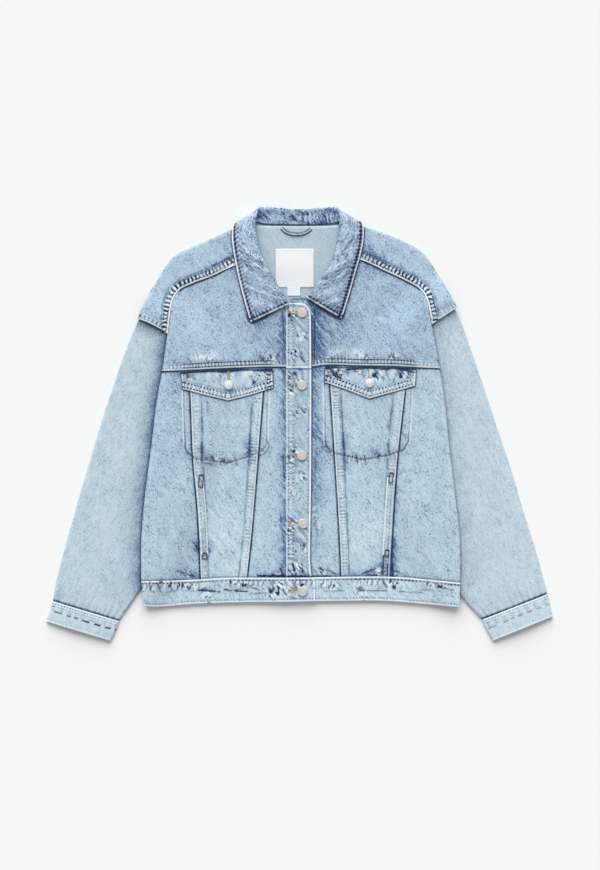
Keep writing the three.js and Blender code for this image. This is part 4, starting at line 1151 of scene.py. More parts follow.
# Panels below the chest seam. Columns: name; left and right edge; side; how much darker the cloth is.
FRONTS = [
    ("side_panel_right", "sideRight", "taperOuterRight", "right", 0.08),
    ("pocket_panel_right", "taperOuterRight", "taperInnerRight", "right", -0.05),
    ("inner_panel_right", "taperInnerRight", "placketInner", "right", -0.02),
    ("inner_panel_left", "leftFrontEdge", "taperInnerLeft", "left", -0.04),
    ("pocket_panel_left", "taperInnerLeft", "taperOuterLeft", "left", -0.05),
    ("side_panel_left", "taperOuterLeft", "sideLeft", "left", -0.04),
]


def make_fronts():
    band = dict(pucker=0.08, pale=0.45, dash=0.36, period=5.6, inner=0.55, steady=0.04, cross=0.8, dotted=1.5)
    for seed, (name, left, right, side, tone) in enumerate(FRONTS, 11):
        outer_edge, inner_edge = ("left", "right") if side == "right" else ("right", "left")
        # The tucked seam sides carry painted shadow lines and painted shade below the chest seam, above the
        # waist seam and beside the tapered seams
        styles = {
            "top": seam_look(tucked, seed * 7, 0.9, 0.5, 6.0),
            "bottom": seam_look(tucked, seed * 9, 0.38, 0.3, 5.0),
        }
        if name.startswith("pocket"):
            styles[outer_edge] = seam_look(lapped, 15.0, seed * 5, narrow=5.5, **band)
            styles[inner_edge] = seam_look(lapped, 13.0, seed * 6, narrow=2.5, **band)
        elif name.startswith("side"):
            styles[inner_edge] = seam_look(tucked, seed * 5, 0.95, 0.22, 5.0)
            styles[outer_edge] = seam_look(folded, seed * 6)
        else:
            styles[outer_edge] = seam_look(tucked, seed * 5, 0.95, 0.25, 5.0)
        # Painted shadow below the flap's outline, and on the left front also beside the placket's edge
        lines = [(FLAP_LINE[side], 0.75, seed * 11)]
        if name == "inner_panel_left":
            lines.append((CURVE["placketEdge"], 0.7, seed * 13))
        marks = all_looks(bag_lines(side, seed * 3), shaded_by(*lines))
        panel(name, cross_edges(left, right, "waistSeam", "chestSeam"), SURFACE[side], styles, seed=seed,
              extra=marks, tone=tone)


# Where the yoke seam bends from the shoulder down to the armhole, as a point of its run
YOKE_KNEE = 3


def make_chest():
    for side, front_edge, seed, tone in (
        ("right", "placketInner", 31, 0.14),
        ("left", "leftFrontEdge", 37, 0.20),
    ):
        Side = side.capitalize()
        seam = CURVE["yokeSeam" + Side]
        knee = np.array(EDGE["yokeSeam" + Side][YOKE_KNEE], float)
        body = CURVE["body" + Side]
        chest_side = crossing(CURVE["chestSeam"], body)
        chest_front = crossing(CURVE["chestSeam"], CURVE[front_edge])
        outer = np.vstack([run_between(body, chest_side, seam[-1]), run_between(seam, seam[-1], knee)[1:]])
        neck = CURVE["neckline" + Side]
        neck = neck[neck[:, 1] < seam[0][1] - 2]
        if side == "right":
            neck[0] = (-21, PLACKET_TOP)
        else:
            neck = np.vstack([[(-14, 203.0), (4, 203.4)], neck])
        inner = np.vstack([[chest_front], neck, [seam[0]]])
        bottom = run_between(CURVE["chestSeam"], chest_side, chest_front)
        top = run_between(seam, knee, seam[0])
        if side == "right":
            edges = {"left": outer, "right": inner, "bottom": bottom, "top": top}
        else:
            edges = {"left": inner, "right": outer, "bottom": bottom[::-1], "top": top[::-1]}
        # The top carries a painted shadow line and painted shade below the yoke seam
        styles = {
            "bottom": seam_look(lapped, 9.5, seed * 3, pucker=0.15, pale=0.9, dash=0.42, period=6.0,
                                inner=0.4, steady=0.08, cross=0.5, dotted=1.2),
            "top": seam_look(tucked, seed * 5, 1.0, 0.45, 7.0),
            "left" if side == "right" else "right": seam_look(folded, seed * 7),
        }
        # Painted shadow beside the collar's front edge, and on the left beside the placket's edge
        lines = [(COLLAR_LINE[side], 0.85, seed * 17)]
        if side == "left":
            lines.append((CURVE["placketEdge"], 0.8, seed * 19))
        marks = all_looks(shaded_by(*lines), chest_puckers(side, seed * 23))
        panel(f"chest_panel_{side}", edges, SURFACE[side], styles, seed=seed, tone=tone, extra=marks)


def chest_puckers(side, seed):
    """Close deep puckers along the chest seam where the flap is sewn in below it."""
    x0, x1 = (-190, -42) if side == "right" else (40, 188)

    def look(x, y):
        d, s = near(x, y, CURVE["chestSeam"])
        here = ramp(x, x0 - 6, x0 + 8) * ramp(x, x1 + 6, x1 - 8)
        wave = ripple(s, 5.2, 1.0, 26, seed, turn=0.12 * d)
        zone = here * ramp(d, 2.2, 4) * ramp(d, 13, 8.5) * uneven(s, 16, seed + 1, 0.25)
        upper = ramp(d, 8, 11) * ramp(d, 22, 12) * here * ramp(wander(s, 17, seed + 2), 0.6, 0.9)
        navy = 1.4 * clamp01(-wave - 0.2) * zone + 0.7 * upper * clamp01(-wave)
        rows = bump_at(d, 3.2, 0.9) + bump_at(d, 9.2, 1.0)
        navy = np.maximum(navy, 1.7 * here * rows * (0.5 + 0.5 * clamp01(0.6 - wave)))
        return 0.3 * wave * zone, 0.6 * clamp01(wave) * zone, navy, 0.25 * upper
    return look


def make_yoke():
    """The shoulder strips that show on the front; the back yoke is one more piece."""
    for side, seed, dash in (("right", 41, 1.5), ("left", 47, 1.9)):
        Side = side.capitalize()
        seam, shoulder, arm = (CURVE[name + Side] for name in ("yokeSeam", "shoulder", "armhole"))
        neck = CURVE["neckline" + Side]
        neck = np.vstack([[seam[0]], neck[neck[:, 1] > seam[0][1]]])
        if side == "right":
            edges = {"left": arm[::-1], "right": neck, "bottom": seam[::-1], "top": shoulder[::-1]}
        else:
            edges = {"left": neck, "right": arm[::-1], "bottom": seam, "top": shoulder}
        styles = {
            "bottom": seam_look(lapped, 11.0, seed * 3, pucker=0.55, pale=1.15, dash=dash, period=6.4,
                                inner=0.5, drift=0.45, steady=0.5),
            "left" if side == "right" else "right": seam_look(lapped, 8.5, seed * 4, pucker=0.2, pale=0.8,
                                                              dash=0.5),
        }
        # Painted shadow beside the collar's front edge
        panel(f"yoke_shoulder_{side}", edges, rounded_shoulder(side), styles, node="yoke", seed=seed,
              extra=shaded_by((COLLAR_LINE[side], 0.8, seed * 17)), tone=0.08)


def rounded_shoulder(side):
    """The shoulder's front half bends down to its folded edge."""
    shoulder = np.array(EDGE["shoulder" + side.capitalize()], float)

    def height(x, y):
        return front_top(x, y) - 1.9 * bent_down(near(x, y, shoulder)[0], 4.5)

    return height


def make_placket():
    edge = CURVE["placketEdge"]
    waist = run_between(CURVE["waistSeam"], crossing(CURVE["waistSeam"], CURVE["placketInner"]),
                        crossing(CURVE["waistSeam"], edge))
    right = upright(edge)
    right = right[right[:, 1] > waist[-1][1] + 0.5]
    edges = {
        "left": np.array([waist[0], (-21, 0), (-21, PLACKET_TOP)]),
        "right": np.vstack([[waist[-1]], right]),
        "bottom": waist,
        "top": smooth([(-21, PLACKET_TOP), (-5, PLACKET_TOP), (8, 191.5), (13, 187), (16.5, 181), (18, 171)],
                      4),
    }
    styles = {
        "left": seam_look(lapped, 12.0, 301, pucker=0.3, pale=0.5, dash=0.75, period=8.5, inner=0.1,
                          steady=0.1, cross=0.3, dotted=1.6),
        "right": seam_look(turned, 303, 3.4, 1.0, 0.7),
        "top": seam_look(turned, 305, 3.0, 0.8, 0.8),
        # The bottom carries a painted shadow line and painted shade above the waist seam
        "bottom": seam_look(tucked, 307, 0.7, 0.4, 5.0),
    }
    panel("placket", edges, placket_top, styles, seed=51, extra=placket_streaks, step=PLACKET_STEP,
          washed=0.25, tone=0.08)


def placket_streaks(x, y):
    """Slanting worn streaks, strongest by the buttons, and the line that the chest seam leaves across."""
    lean = np.sin(2 * math.pi * ((x * 0.8 + y * 0.55) / 9.5 + 1.6 * blotches(x, y, 21, 311)))
    patch = ramp(blotches(x, y, 17, 313), 0.5, 0.85)
    by_button = sum(bump_at(y, button_y, 15) for _, button_y, _ in FRONT_BUTTONS)
    strength = clamp01(0.35 * patch + 0.55 * by_button * patch + 0.15)
    white = 0.6 * clamp01(lean) * strength + bump_at(y, 91, 1.1)
    navy = 0.8 * clamp01(-lean - 0.35) * strength * ramp(x, 17, 9) + 0.9 * bump_at(y, 88.2, 1.1)
    return 0.35 * lean * strength, white, navy, 0.1 * strength


def make_bands():
    for name, left, right, height, seed, tone in (
        ("waistband_front_right", "sideRight", "bandEnd", right_band_top, 61, -0.12),
        ("waistband_front_left", "leftFrontEdge", "sideLeft", left_band_top, 67, -0.22),
    ):
        styles = {
            "top": seam_look(turned, seed * 3, 2.6, 0.62, 2.2),
            "bottom": seam_look(turned, seed * 5, 3.4, 0.8, 0.35),
        }
        if name.endswith("right"):
            styles["right"] = seam_look(turned, seed * 7, 3.0, 0.9, 0.5)
        panel(name, cross_edges(left, right, "hem", "waistSeam"), height, styles, seed=seed,
              extra=band_marks(seed), washed=0.4, tone=tone)


def band_marks(seed):
    """Slanting puckers under the waist seam, a broken worn line in mid height and stitches above the hem."""
    def look(x, y):
        top, s = near(x, y, CURVE["waistSeam"])
        low, _ = near(x, y, CURVE["hem"])
        broken = clamp01(ripple(s, 31, 2.0, 44, seed)) * wander(s, 37, seed + 1)
        mark = 0.85 * bump_at(top + 1.2 * np.sin(s / 9), 17.5, 1.3) * broken
        slant = np.sin(2 * math.pi * ((s + 0.35 * top) / 8.6 + 1.5 * wander(s, 25, seed + 2)))
        zone = ramp(top, 4.4, 6.0) * ramp(top, 16.5, 11) * ramp(wander(s, 46, seed + 3), 0.2, 0.7)
        relief = 0.35 * slant * zone - 0.3 * bump_at(top, 17.5, 1.5)
        lower = 0.15 * ripple(s, 12, 1.0, 33, seed + 4) * ramp(top, 22, 27)
        dots = clamp01(np.sin(s * 1.25) + 0.25) * uneven(s, 29, seed + 5, 0.3)
        stitches = 1.1 * bump_at(low, 4.4, 1.1) * dots
        navy = np.maximum(mark + 1.25 * clamp01(-slant - 0.45) * zone, stitches)
        return relief + lower, 0.6 * clamp01(slant - 0.1) * zone, navy, 0.05 * zone
    return look


def make_flaps():
    side_edge = dict(pucker=0.1, pale=1.0, dash=0.6, inner=0.4, steady=0.05, dotted=1.8)
    for side, seed in (("right", 71), ("left", 77)):
        edges = {key: np.array(points, float) for key, points in FLAPS[side].items()}
        styles = {
            "bottom": seam_look(lapped, 11.5, seed * 3, pucker=0.3, pale=1.1, dash=0.95, period=6.6,
                                inner=0.4, cross=0.32, dotted=2.7),
            "left": seam_look(lapped, 9.0, seed * 5, **side_edge),
            "right": seam_look(lapped, 9.0, seed * 7, **side_edge),
        }
        panel(f"pocket_flap_{side}", edges, plus(SURFACE[side], FLAP_LIFT), styles, seed=seed,
              extra=flap_rumple(edges["top"], seed), step=FLAP_STEP, tone=-0.10)


def flap_rumple(top, seed):
    """Soft folds from the flap's seam, its shadowed top and dark patches towards its ends."""
    def look(x, y):
        d, s = near(x, y, top)
        fold = ripple(s, 19, 1.4, 30, seed, turn=0.06 * d)
        zone = ramp(d, 24, 8) * uneven(s, 24, seed + 1, 0.2)
        ends = ramp(np.minimum(s, s.max() - s), 46, 6)
        patch = ramp(blotches(x + 0.4 * y, y * 1.7, 15, seed + 4), 0.30, 0.66)
        shadow = 3.0 + 5.0 * wander(s, 24, seed + 2)
        navy = 1.5 * ramp(d, shadow, 0.5 * shadow) * uneven(s, 20, seed + 3, 0.55)
        navy = np.maximum(navy, 0.45 * ramp(d, 15, 5) * patch * (0.1 + 0.9 * ends))
        navy = navy + 0.35 * clamp01(-fold - 0.45) * zone
        return 0.8 * fold * zone, 0.75 * clamp01(fold + 0.2) * zone, navy, 0.06 * zone
    return look


# Both ends of the hand pockets' welts, and their width
WELT_TOP, WELT_BOTTOM, WELT_WIDTH = -86.0, -210.0, 12.0


def make_welts():
    """Narrow strips on the pocket panels, each along its outer tapered seam."""
    for side, toward, seed, tone in (("right", 1, 81, -0.12), ("left", -1, 87, -0.20)):
        seam = upright(CURVE["taperOuter" + side.capitalize()])
        part = seam[(seam[:, 1] > WELT_BOTTOM) & (seam[:, 1] < WELT_TOP)]
        ends = [np.array([np.interp(y, seam[:, 1], seam[:, 0]), y]) for y in (WELT_BOTTOM, WELT_TOP)]
        near_edge = np.vstack([ends[0], part, ends[1]]) + (toward, 0)
        far_edge = near_edge + (toward * WELT_WIDTH, 0)
        left, right = (near_edge, far_edge) if side == "right" else (far_edge, near_edge)
        edges = {"left": left, "right": right, "bottom": np.array([left[0], right[0]]),
                 "top": np.array([left[-1], right[-1]])}
        styles = {
            "left": seam_look(turned, seed * 3, 2.2, 0.6, 0.7),
            "right": seam_look(turned, seed * 5, 2.2, 0.4, 0.9),
        }
        panel(f"hand_pocket_welt_{side}", edges, plus(SURFACE[side], WELT_LIFT), styles, seed=seed,
              washed=0.5, tone=tone)


def make_bags():
    for side, x0, x1, low in (("right", -186, -50, -60), ("left", 40, 180, -56)):
        edges = rectangle(x0, low + 16, x1, 70)
        edges["left"][0, 0] += 3
        edges["right"][0, 0] -= 3
        edges["bottom"] = smooth([edges["left"][0], (x0 + 18, low + 4), ((x0 + x1) / 2, low),
                                  (x1 - 16, low + 6), edges["right"][0]])
        panel(f"pocket_bag_{side}", edges, plus(back_top, BAG_LIFT), {},
              material="inside", step=BAG_STEP, drop=0.9)


def make_back():
    """The back lies face down, so its outer side is underneath and its wrong side shows in the neck."""
    for seed, (name, left, right, bottom, top) in enumerate([
        ("back_side_panel_right", "sideRight", "backTaperRight", "waistSeam", "backYokeSeam"),
        ("back_center_panel", "backTaperRight", "backTaperLeft", "waistSeam", "backYokeSeam"),
        ("back_side_panel_left", "backTaperLeft", "sideLeft", "waistSeam", "backYokeSeam"),
        ("waistband_back", "sideRight", "sideLeft", "hem", "waistSeam"),
    ], 91):
        back_panel(name, cross_edges(left, right, bottom, top), name, seed)
    neck = smooth([(-76, 316.5), (-66, 317.6), (-40, 317.2), (0, 317), (40, 317.4), (62, 318.4), (72, 318)])
    low_right, low_left = (crossing(CURVE[side], CURVE["backYokeSeam"]) for side in ("sideRight", "sideLeft"))
    edges = {
        "left": run_between(CURVE["sideRight"], low_right, CURVE["sideRight"][0]),
        "right": run_between(CURVE["sideLeft"], low_left, CURVE["sideLeft"][0]),
        "bottom": np.array([low_right, low_left]),
        "top": np.vstack([CURVE["shoulderRight"][::-1], neck[1:-1], CURVE["shoulderLeft"]]),
    }
    back_panel("yoke_back", edges, "yoke", 97)


def back_panel(name, edges, node, seed):
    """A flat wall with both its sides: the wrong side up, and the washed outer side underneath."""
    grid = coons(edges, BACK_STEP, fine=1.6)
    x, y = grid[..., 0], grid[..., 1]
    rows, columns = x.shape
    low = under(x, y)
    top = low + CLOTH + 0.15 * (blotches(x, y, 20, seed) - 0.5)
    to_seam = np.minimum.reduce([near(x, y, edge)[0] for edge in edges.values()])
    outside = {
        "wash": wash(x * 0.6, y) * 0.3 + 0.25 * np.exp(-to_seam / 5),
        "white": 0.5 * ramp(to_seam, 2.2, 0.8), "navy": 0.4 * bump_at(to_seam, 9, 1.2),
    }
    values = {key: np.concatenate([np.zeros(x.size), data.ravel()]) for key, data in outside.items()}
    points = np.vstack([np.dstack([x, y, z]).reshape(-1, 3) for z in (top, low)])
    piece = make_mesh("cloth_" + name, points, wall_faces(rows, columns), values, MATERIAL["inside"])
    piece.data.materials.append(MATERIAL["denim"])
    side = np.zeros(len(piece.data.polygons), np.int32)
    side[(rows - 1) * (columns - 1):] = 1
    piece.data.polygons.foreach_set("material_index", side)
    finish_piece(piece, node)
    plan_area(grid)


def make_sleeves():
    tube("sleeve_right", SLEEVE_RIGHT, SLEEVE_TOP, "sleeve", 101)
    tube("sleeve_left", SLEEVE_LEFT, SLEEVE_TOP, "sleeve_left", 107)
    tube("cuff_right", CUFF_RIGHT, CUFF_TOP, "sleeve", 113)
    tube("cuff_left", CUFF_LEFT, CUFF_TOP, "sleeve_left", 119)


def sleeve_look(to_body, from_top, from_bottom, across, right, seed):
    """Painted shadow of the body beside it, painted shade below the armhole seam, and gathers above the cuff
    with painted shade under the cuff's seam.
    """
    # Painted shadow of the body's edge on the sleeve, stronger on the right sleeve: a navy line at the edge
    # and dark shade falling off
    strong, reach, line = (0.85, 16.5, 0.8) if right else (0.34, 19.5, 0.3)
    zero = np.zeros(across.shape)
    body_shadow = (zero, zero, line * ramp(to_body, 4.0, 1.0), strong * np.exp(-((to_body / reach) ** 1.5)))
    pucker = ripple(across, 12, 1.3, 22, seed)
    zone = np.exp(-from_bottom / 13)
    # Painted shadow line and painted shade at the sleeve's end under the cuff's seam
    relief, white, navy, dark = tucked(from_bottom, across, seed + 2, 0.7, 0.12, 4.0)
    gathers = (relief + 0.8 * pucker * zone, white, navy + 0.5 * clamp01(-pucker - 0.4) * zone, dark)
    # Painted shadow line and painted shade below the armhole seam
    armhole = tucked(from_top, across, seed, 0.8, 0.3, 6.0)
    return lay_over(lay_over(body_shadow, armhole), gathers)


def cuff_look(from_top, from_bottom, across, right, seed):
    """A pale seam at the top, slanting puckers, a wavy worn line, rows of stitching and a turned hem."""
    zero = np.zeros(across.shape)
    seam = (0.4 * ramp(from_top, 6.5, 5.0) - 0.3 * bump_at(from_top, 3.4, 0.8),
            0.95 * ramp(from_top, 2.4, 1.4) + 0.85 * bump_at(from_top, 5.4, 1.0), zero, zero - 0.16)
    hem = turned(from_bottom, across, seed + 4, 3.6, 0.7, 0.35)
    slant = ripple(across, 12, 1.5, 30, seed + 6)
    zone = ramp(from_top, 4, 7) * ramp(from_top, 17, 12) * uneven(across, 35, seed + 7, 0.3)
    broken = clamp01(1.6 * ripple(across, 17, 1.0, 26, seed + 8) + 0.9) * uneven(across, 13, seed + 10, 0.5)
    wavy = 15.5 + 1.1 * (wander(across, 15, seed + 9) - 0.5)
    worn_line = (2.0 if right else 0.9) * bump_at(from_top, wavy, 1.1) * broken
    dots = clamp01(np.sin(across * 1.3) + 0.3) * uneven(across, 12, seed + 11, 0.3)
    stitches = 1.3 * (bump_at(from_top, 3.5, 0.8) + 0.6 * bump_at(from_top, 7.4, 0.8)) * dots
    navy = np.maximum.reduce([worn_line, 0.6 * clamp01(-slant - 0.5) * zone, stitches])
    relief = 0.35 * slant * zone - 0.3 * bump_at(from_top, 14, 1.4)
    return lay_over(lay_over(seam, hem), (relief, 0.3 * clamp01(slant) * zone, navy, zero))


def tube(name, table, crown, material, seed):
    """A flattened tube: a domed upper wall that bends round its folded sides to a flat underside."""
    rows = np.array(table, float)
    outer, inner = smooth(rows[:, :2]), smooth(rows[:, 2:])
    is_cuff, right = name.startswith("cuff"), name.endswith("right")
    length = length_along(outer)[-1]
    step = CUFF_STEP if is_cuff else SLEEVE_STEP
    v = fractions(length, step)
    a, b = at_shares(outer, v)[:, None], at_shares(inner, v)[:, None]
    width = float(np.linalg.norm(b - a, axis=-1).mean())
    # Closer points towards both folded sides
    count = int(width / step)
    u = 0.55 * (1 - np.cos(np.linspace(0, math.pi, count))) / 2 + 0.45 * np.linspace(0, 1, count)
    plan = mix(a, b, u[None, :, None])
    x, y = plan[..., 0], plan[..., 1]
    share = np.broadcast_to(u[None], x.shape)
    arch = np.sin(math.pi * share)
    dome = FOLD_EDGE + (crown - FOLD_EDGE) * arch ** 0.7
    round_off = 1 - bent_down(np.minimum(share, 1 - share) * width, 3.2)
    from_top = np.broadcast_to((v * length)[:, None], x.shape)
    from_bottom = length - from_top
    across = share * width
    if is_cuff:
        look = cuff_look(from_top, from_bottom, across, right, seed)
    else:
        to_body, _ = near(x, y, CURVE["sideRight" if right else "sideLeft"])
        look = sleeve_look(to_body, from_top, from_bottom, across, right, seed)
    relief, white, navy, dark = look
    relief = relief + np.minimum(0, folds(x, y)) * arch
    relief = relief + 0.3 * (blotches(x, y, 30, seed) - 0.5) * 2 * arch ** 0.5
    top = 0.5 * FOLD_EDGE + (dome + relief - 0.5 * FOLD_EDGE) * round_off
    bottom = 0.5 * FOLD_EDGE * (1 - round_off)
    # One ring a row: over the top from the outer to the inner fold, then back underneath with fewer points
    ring = np.concatenate([np.dstack([x, y, top]), np.dstack([x, y, bottom])[:, -2:0:-4]], axis=1)
    n_rows, n_ring = ring.shape[:2]
    faces = ring_faces(n_rows, n_ring)
    points, all_faces = [ring.reshape(-1, 3)], [faces[:, ::-1] if right else faces]
    # The cut ends turn in, so the openings show the cloth's thickness and its inside
    start = n_rows * n_ring
    for row, inwards in ((0, 8), (-1, -8)):
        edge = ring[row]
        centre = edge.mean(axis=0, keepdims=True)
        inset = centre + (edge - centre) * (0.975, 0.975, 0.45)
        deeper = inset.copy()
        deeper[:, :2] += (ring[row + inwards] - edge)[:, :2]
        points += [inset, deeper]
        last = np.arange(n_ring) + (0 if row == 0 else (n_rows - 1) * n_ring)
        for _ in range(2):
            following = start + np.arange(n_ring)
            quads = np.stack([last, np.roll(last, -1), np.roll(following, -1), following], -1)
            all_faces.append(quads if (inwards > 0) == right else quads[:, ::-1])
            last = following
            start += n_ring
    underside = np.zeros((n_rows, n_ring - x.shape[1]))
    # The wash values carry painted shade and the navy values painted shadow lines, beside the body and at the
    # seams
    values = {}
    for key, data, at_ends in (("white", white, 0.0), ("navy", navy, 0.0), ("wash", dark, 0.35)):
        body = np.concatenate([data, underside], axis=1).ravel()
        values[key] = np.concatenate([body, np.full(4 * n_ring, at_ends)])
    piece = make_mesh("cloth_" + name, np.vstack(points), np.vstack(all_faces), values, MATERIAL[material])
    finish_piece(piece, name)


# Points of a collar section: on the fall in shares of its width, and each point's place, 1 at the roll
FALL_SHARES = (0.22, 0.48, 0.74, 1.0)
SECTION_PARTS = (0, 0.5, 1.0, 1.15, 1.4, 1.6, 1.8, 2.0)


def collar_section(seam, roll, edge, rise, lies):
    """One cross-section of the collar, from its seam over the stand and the roll to the fall's edge."""
    half = COLLAR_WALL / 2
    seam, roll, edge = (np.array(point, float) for point in (seam, roll, edge))
    stand = (seam + roll) / 2

    def surface(p):
        return height_at(right_top if p[0] < 0 else front_top, p[0], p[1])

    def along(t):
        return mix(roll, edge, t)

    if lies > 0:
        out = (edge - roll) / np.linalg.norm(edge - roll)
        crown = max(surface(roll), surface(along(0.3))) + rise
        seam_z = surface(seam) + LAY + half
        puff = rise - half - LAY
        fall = [(*along(t), surface(along(t)) + LAY + half + puff * max(math.cos(math.pi / 2 * t), 0) ** 1.3)
                for t in FALL_SHARES]
        return [(*seam, seam_z), (*stand, mix(seam_z, crown - 2.2, 0.55)), (*roll, crown - 2.2),
                (*(roll + out * 2.4), crown), *fall]
    behind = lies < 0
    fall = [(*along(t), half if behind else mix(rise * 0.6, 3.2, t)) for t in FALL_SHARES]
    return [(*seam, UNDER_COLLAR + half + 0.1 if behind else rise + 0.6),
            (*stand, mix(UNDER_COLLAR + half, rise, 0.6)), (*mix(roll, stand, 0.25), rise),
            (*roll, mix(rise, half, 0.5) if behind else rise * 0.75), *fall]


def refine(points, pieces):
    """Catmull-Rom along the first axis, with so many pieces between two stations."""
    p = np.concatenate([2 * points[:1] - points[1:2], points, 2 * points[-1:] - points[-2:-1]])
    t = np.linspace(0, 1, pieces, endpoint=False)[:, None, None]
    out = []
    for a, b, c, d in zip(p, p[1:], p[2:], p[3:]):
        square = 2 * a - 5 * b + 4 * c - d
        cube = 3 * b - a - 3 * c + d
        out.append(0.5 * (2 * b + (c - a) * t + square * t ** 2 + cube * t ** 3))
    out.append(points[-1][None])
    return np.concatenate(out)


def even_rows(grid):
    """The same surface with even spacing along it, and closer spacing towards the fall's edge."""
    s = length_along(grid[:, -1, :3])
    share = np.linspace(0, 1, int(s[-1] / (1.32)))
    rows = np.stack([resampled(grid[:, j], s, share) for j in range(grid.shape[1])], 1)
    across = np.concatenate([np.linspace(0, 0.8, 42, endpoint=False),
                             np.linspace(0.8, 1, 22)])
    return np.stack([resampled(row, length_along(row[:, :3]), across) for row in rows])


def make_collar():
    coarse = np.array([[(*point, part) for point, part in zip(collar_section(*row), SECTION_PARTS)]
                       for row in COLLAR], float)
    fine = refine(refine(coarse, 10).transpose(1, 0, 2), 8).transpose(1, 0, 2)
    fine = even_rows(fine)
    grid, part = fine[..., :3], fine[..., 3]
    rows, columns = grid.shape[:2]
    along = np.gradient(grid, axis=0)
    across = np.gradient(grid, axis=1)
    normal = np.cross(along, across)
    normal /= np.maximum(np.linalg.norm(normal, axis=-1, keepdims=True), 1e-9)
    steps = np.linalg.norm(np.diff(grid, axis=1), axis=-1)
    down = np.concatenate([np.zeros((rows, 1)), np.cumsum(steps, axis=1)], axis=1)
    from_edge = down[:, -1:] - down
    s_edge = length_along(grid[:, -1])[:, None] + 0 * down
    ends = np.linalg.norm(np.diff(grid, axis=0), axis=-1)
    walk = np.concatenate([np.zeros((1, columns)), np.cumsum(ends, axis=0)], axis=0)
    from_end = np.minimum(walk, walk[-1:] - walk)
    on_fall = ramp(part, 0.95, 1.12)
    on_stand = 1 - on_fall
    relief, white, navy, dark = (np.zeros(down.shape) for _ in range(4))
    # Edge stitching with its puckers, on the fall's outer edge and its front ends. It is heavier on the
    # wearer's left half, where half is 0.
    half = ramp(s_edge, 0.55 * s_edge.max(), 0.45 * s_edge.max())
    for d, s, seed, heavy in ((from_edge, s_edge, 201, 1.0 - 0.5 * half), (from_end, down, 211, 0.6)):
        wave = ripple(s, 6.2, 1.1, 24, seed, turn=-0.3 * d)
        zone = ramp(d, 2.0, 3.4) * ramp(d, 15, 7.0) * uneven(s, 19, seed + 1, 0.35) * on_fall
        relief += 0.55 * wave * zone + 0.6 * ramp(d, 7.5, 5.8) - 0.4 * bump_at(d, 6.2, 1.0)
        white = np.maximum(white, ramp(d, 3.0, 1.9) * uneven(s, 11, seed + 2, 0.8) * on_fall)
        white = np.maximum(white, 0.55 * clamp01(wave) * zone)
        row = bump_at(d, 4.2 + 0.5 * heavy, 1.3 + 1.1 * heavy) * (0.5 + 0.6 * clamp01(0.6 - 1.5 * wave))
        navy = np.maximum(navy, (1.6 + 0.7 * heavy) * row * on_fall * uneven(s, 15, seed + 3, 0.55))
        navy = np.maximum(navy, 1.1 * clamp01(-wave - 0.3) * zone)
        dark += 0.45 * bump_at(d, 9, 6) * uneven(s, 27, seed + 4, 0.3) * on_fall
    # Creases across the fall, from the roll towards its edge
    side = np.where(np.arange(rows)[:, None] < rows / 2, 1.0, -1.0) + 0 * down
    lean = s_edge - side * (down + 3 * wander(down, 19, 219))
    level = streaks_of(0.8 * down + 0.1 * s_edge, lean, 2.7, 221)
    crease = ramp(level, 0.54, 0.70) - ramp(level, 0.46, 0.30)
    broad = ripple(lean, 34, 1.2, 47, 225)
    patch = 0.25 + 0.75 * ramp(blotches(s_edge, down, 24, 228), 0.3, 0.65)
    middle = on_fall * ramp(from_edge, 5, 11)
    relief += (0.28 * crease * patch + 0.5 * broad) * middle * (0.3 + 0.7 * ramp(part, 1.0, 1.35))
    navy = np.maximum(navy, 0.62 * clamp01(-crease) * middle * patch)
    white = np.maximum(white, 0.38 * clamp01(crease) * middle * patch)
    dark += (0.16 * clamp01(-broad) + 0.05 * patch - 0.10) * middle
    # Painted shade along the roll line, fading out towards the front ends
    dark += 0.55 * bump_at(part, 1.05, 0.16) * uneven(walk, 36, 229, 0.3) * ramp(from_end, 0, 12)
    # The stand behind the neck: rumpled and darker, with a painted shade line along its seam and a row of
    # stitches
    rib = ripple(walk, 8.0, 1.4, 26, 231, turn=0.1 * math.pi * down * side)
    stand_zone = on_stand * uneven(walk, 22, 233, 0.25) * ramp(part, 1.0, 0.6)
    relief += 0.5 * rib * stand_zone
    blot = blotches(walk + 6 * rib, down * 1.5, 12, 235)
    navy = np.maximum(navy, 0.75 * clamp01(-rib - 0.2) * stand_zone * ramp(blot, 0.3, 0.6))
    # A painted shade line along the stand's seam
    navy = np.maximum(navy, 1.1 * bump_at(down, 0.4, 1.3) * on_stand)
    navy = np.maximum(navy, 0.6 * bump_at(down, 5.5, 1.2) * on_stand * clamp01(np.sin(walk * 1.35) + 0.3))
    white = np.maximum(white, 0.6 * clamp01(rib - 0.1) * stand_zone * ramp(blot, 0.65, 0.4))
    dark += on_stand * (0.75 * ramp(blot, 0.42, 0.72) + 0.12)
    outwards = normal if normal[:, -1, 2].mean() > 0 else -normal
    outer = grid + outwards * (COLLAR_WALL / 2 + relief * on_fall)[..., None]
    inner = grid - outwards * (COLLAR_WALL / 2 + relief * on_stand)[..., None]
    points = np.vstack([outer.reshape(-1, 3), inner.reshape(-1, 3)])
    # The wash values include painted shade along the roll, and the navy values a painted shade line along the
    # stand's seam
    values = {key: np.concatenate([data.ravel()] * 2)
              for key, data in (("white", white), ("navy", navy), ("wash", dark))}
    points[:, 2] = np.maximum(points[:, 2], 0.0)
    points[:, 1] = np.minimum(points[:, 1], HALF_LENGTH + 0.6)
    piece = make_mesh("cloth_collar", points, wall_faces(rows, columns), values, MATERIAL["collar"])
    finish_piece(piece, "collar")
    area = float(np.linalg.norm(np.cross(along, across), axis=-1).sum())


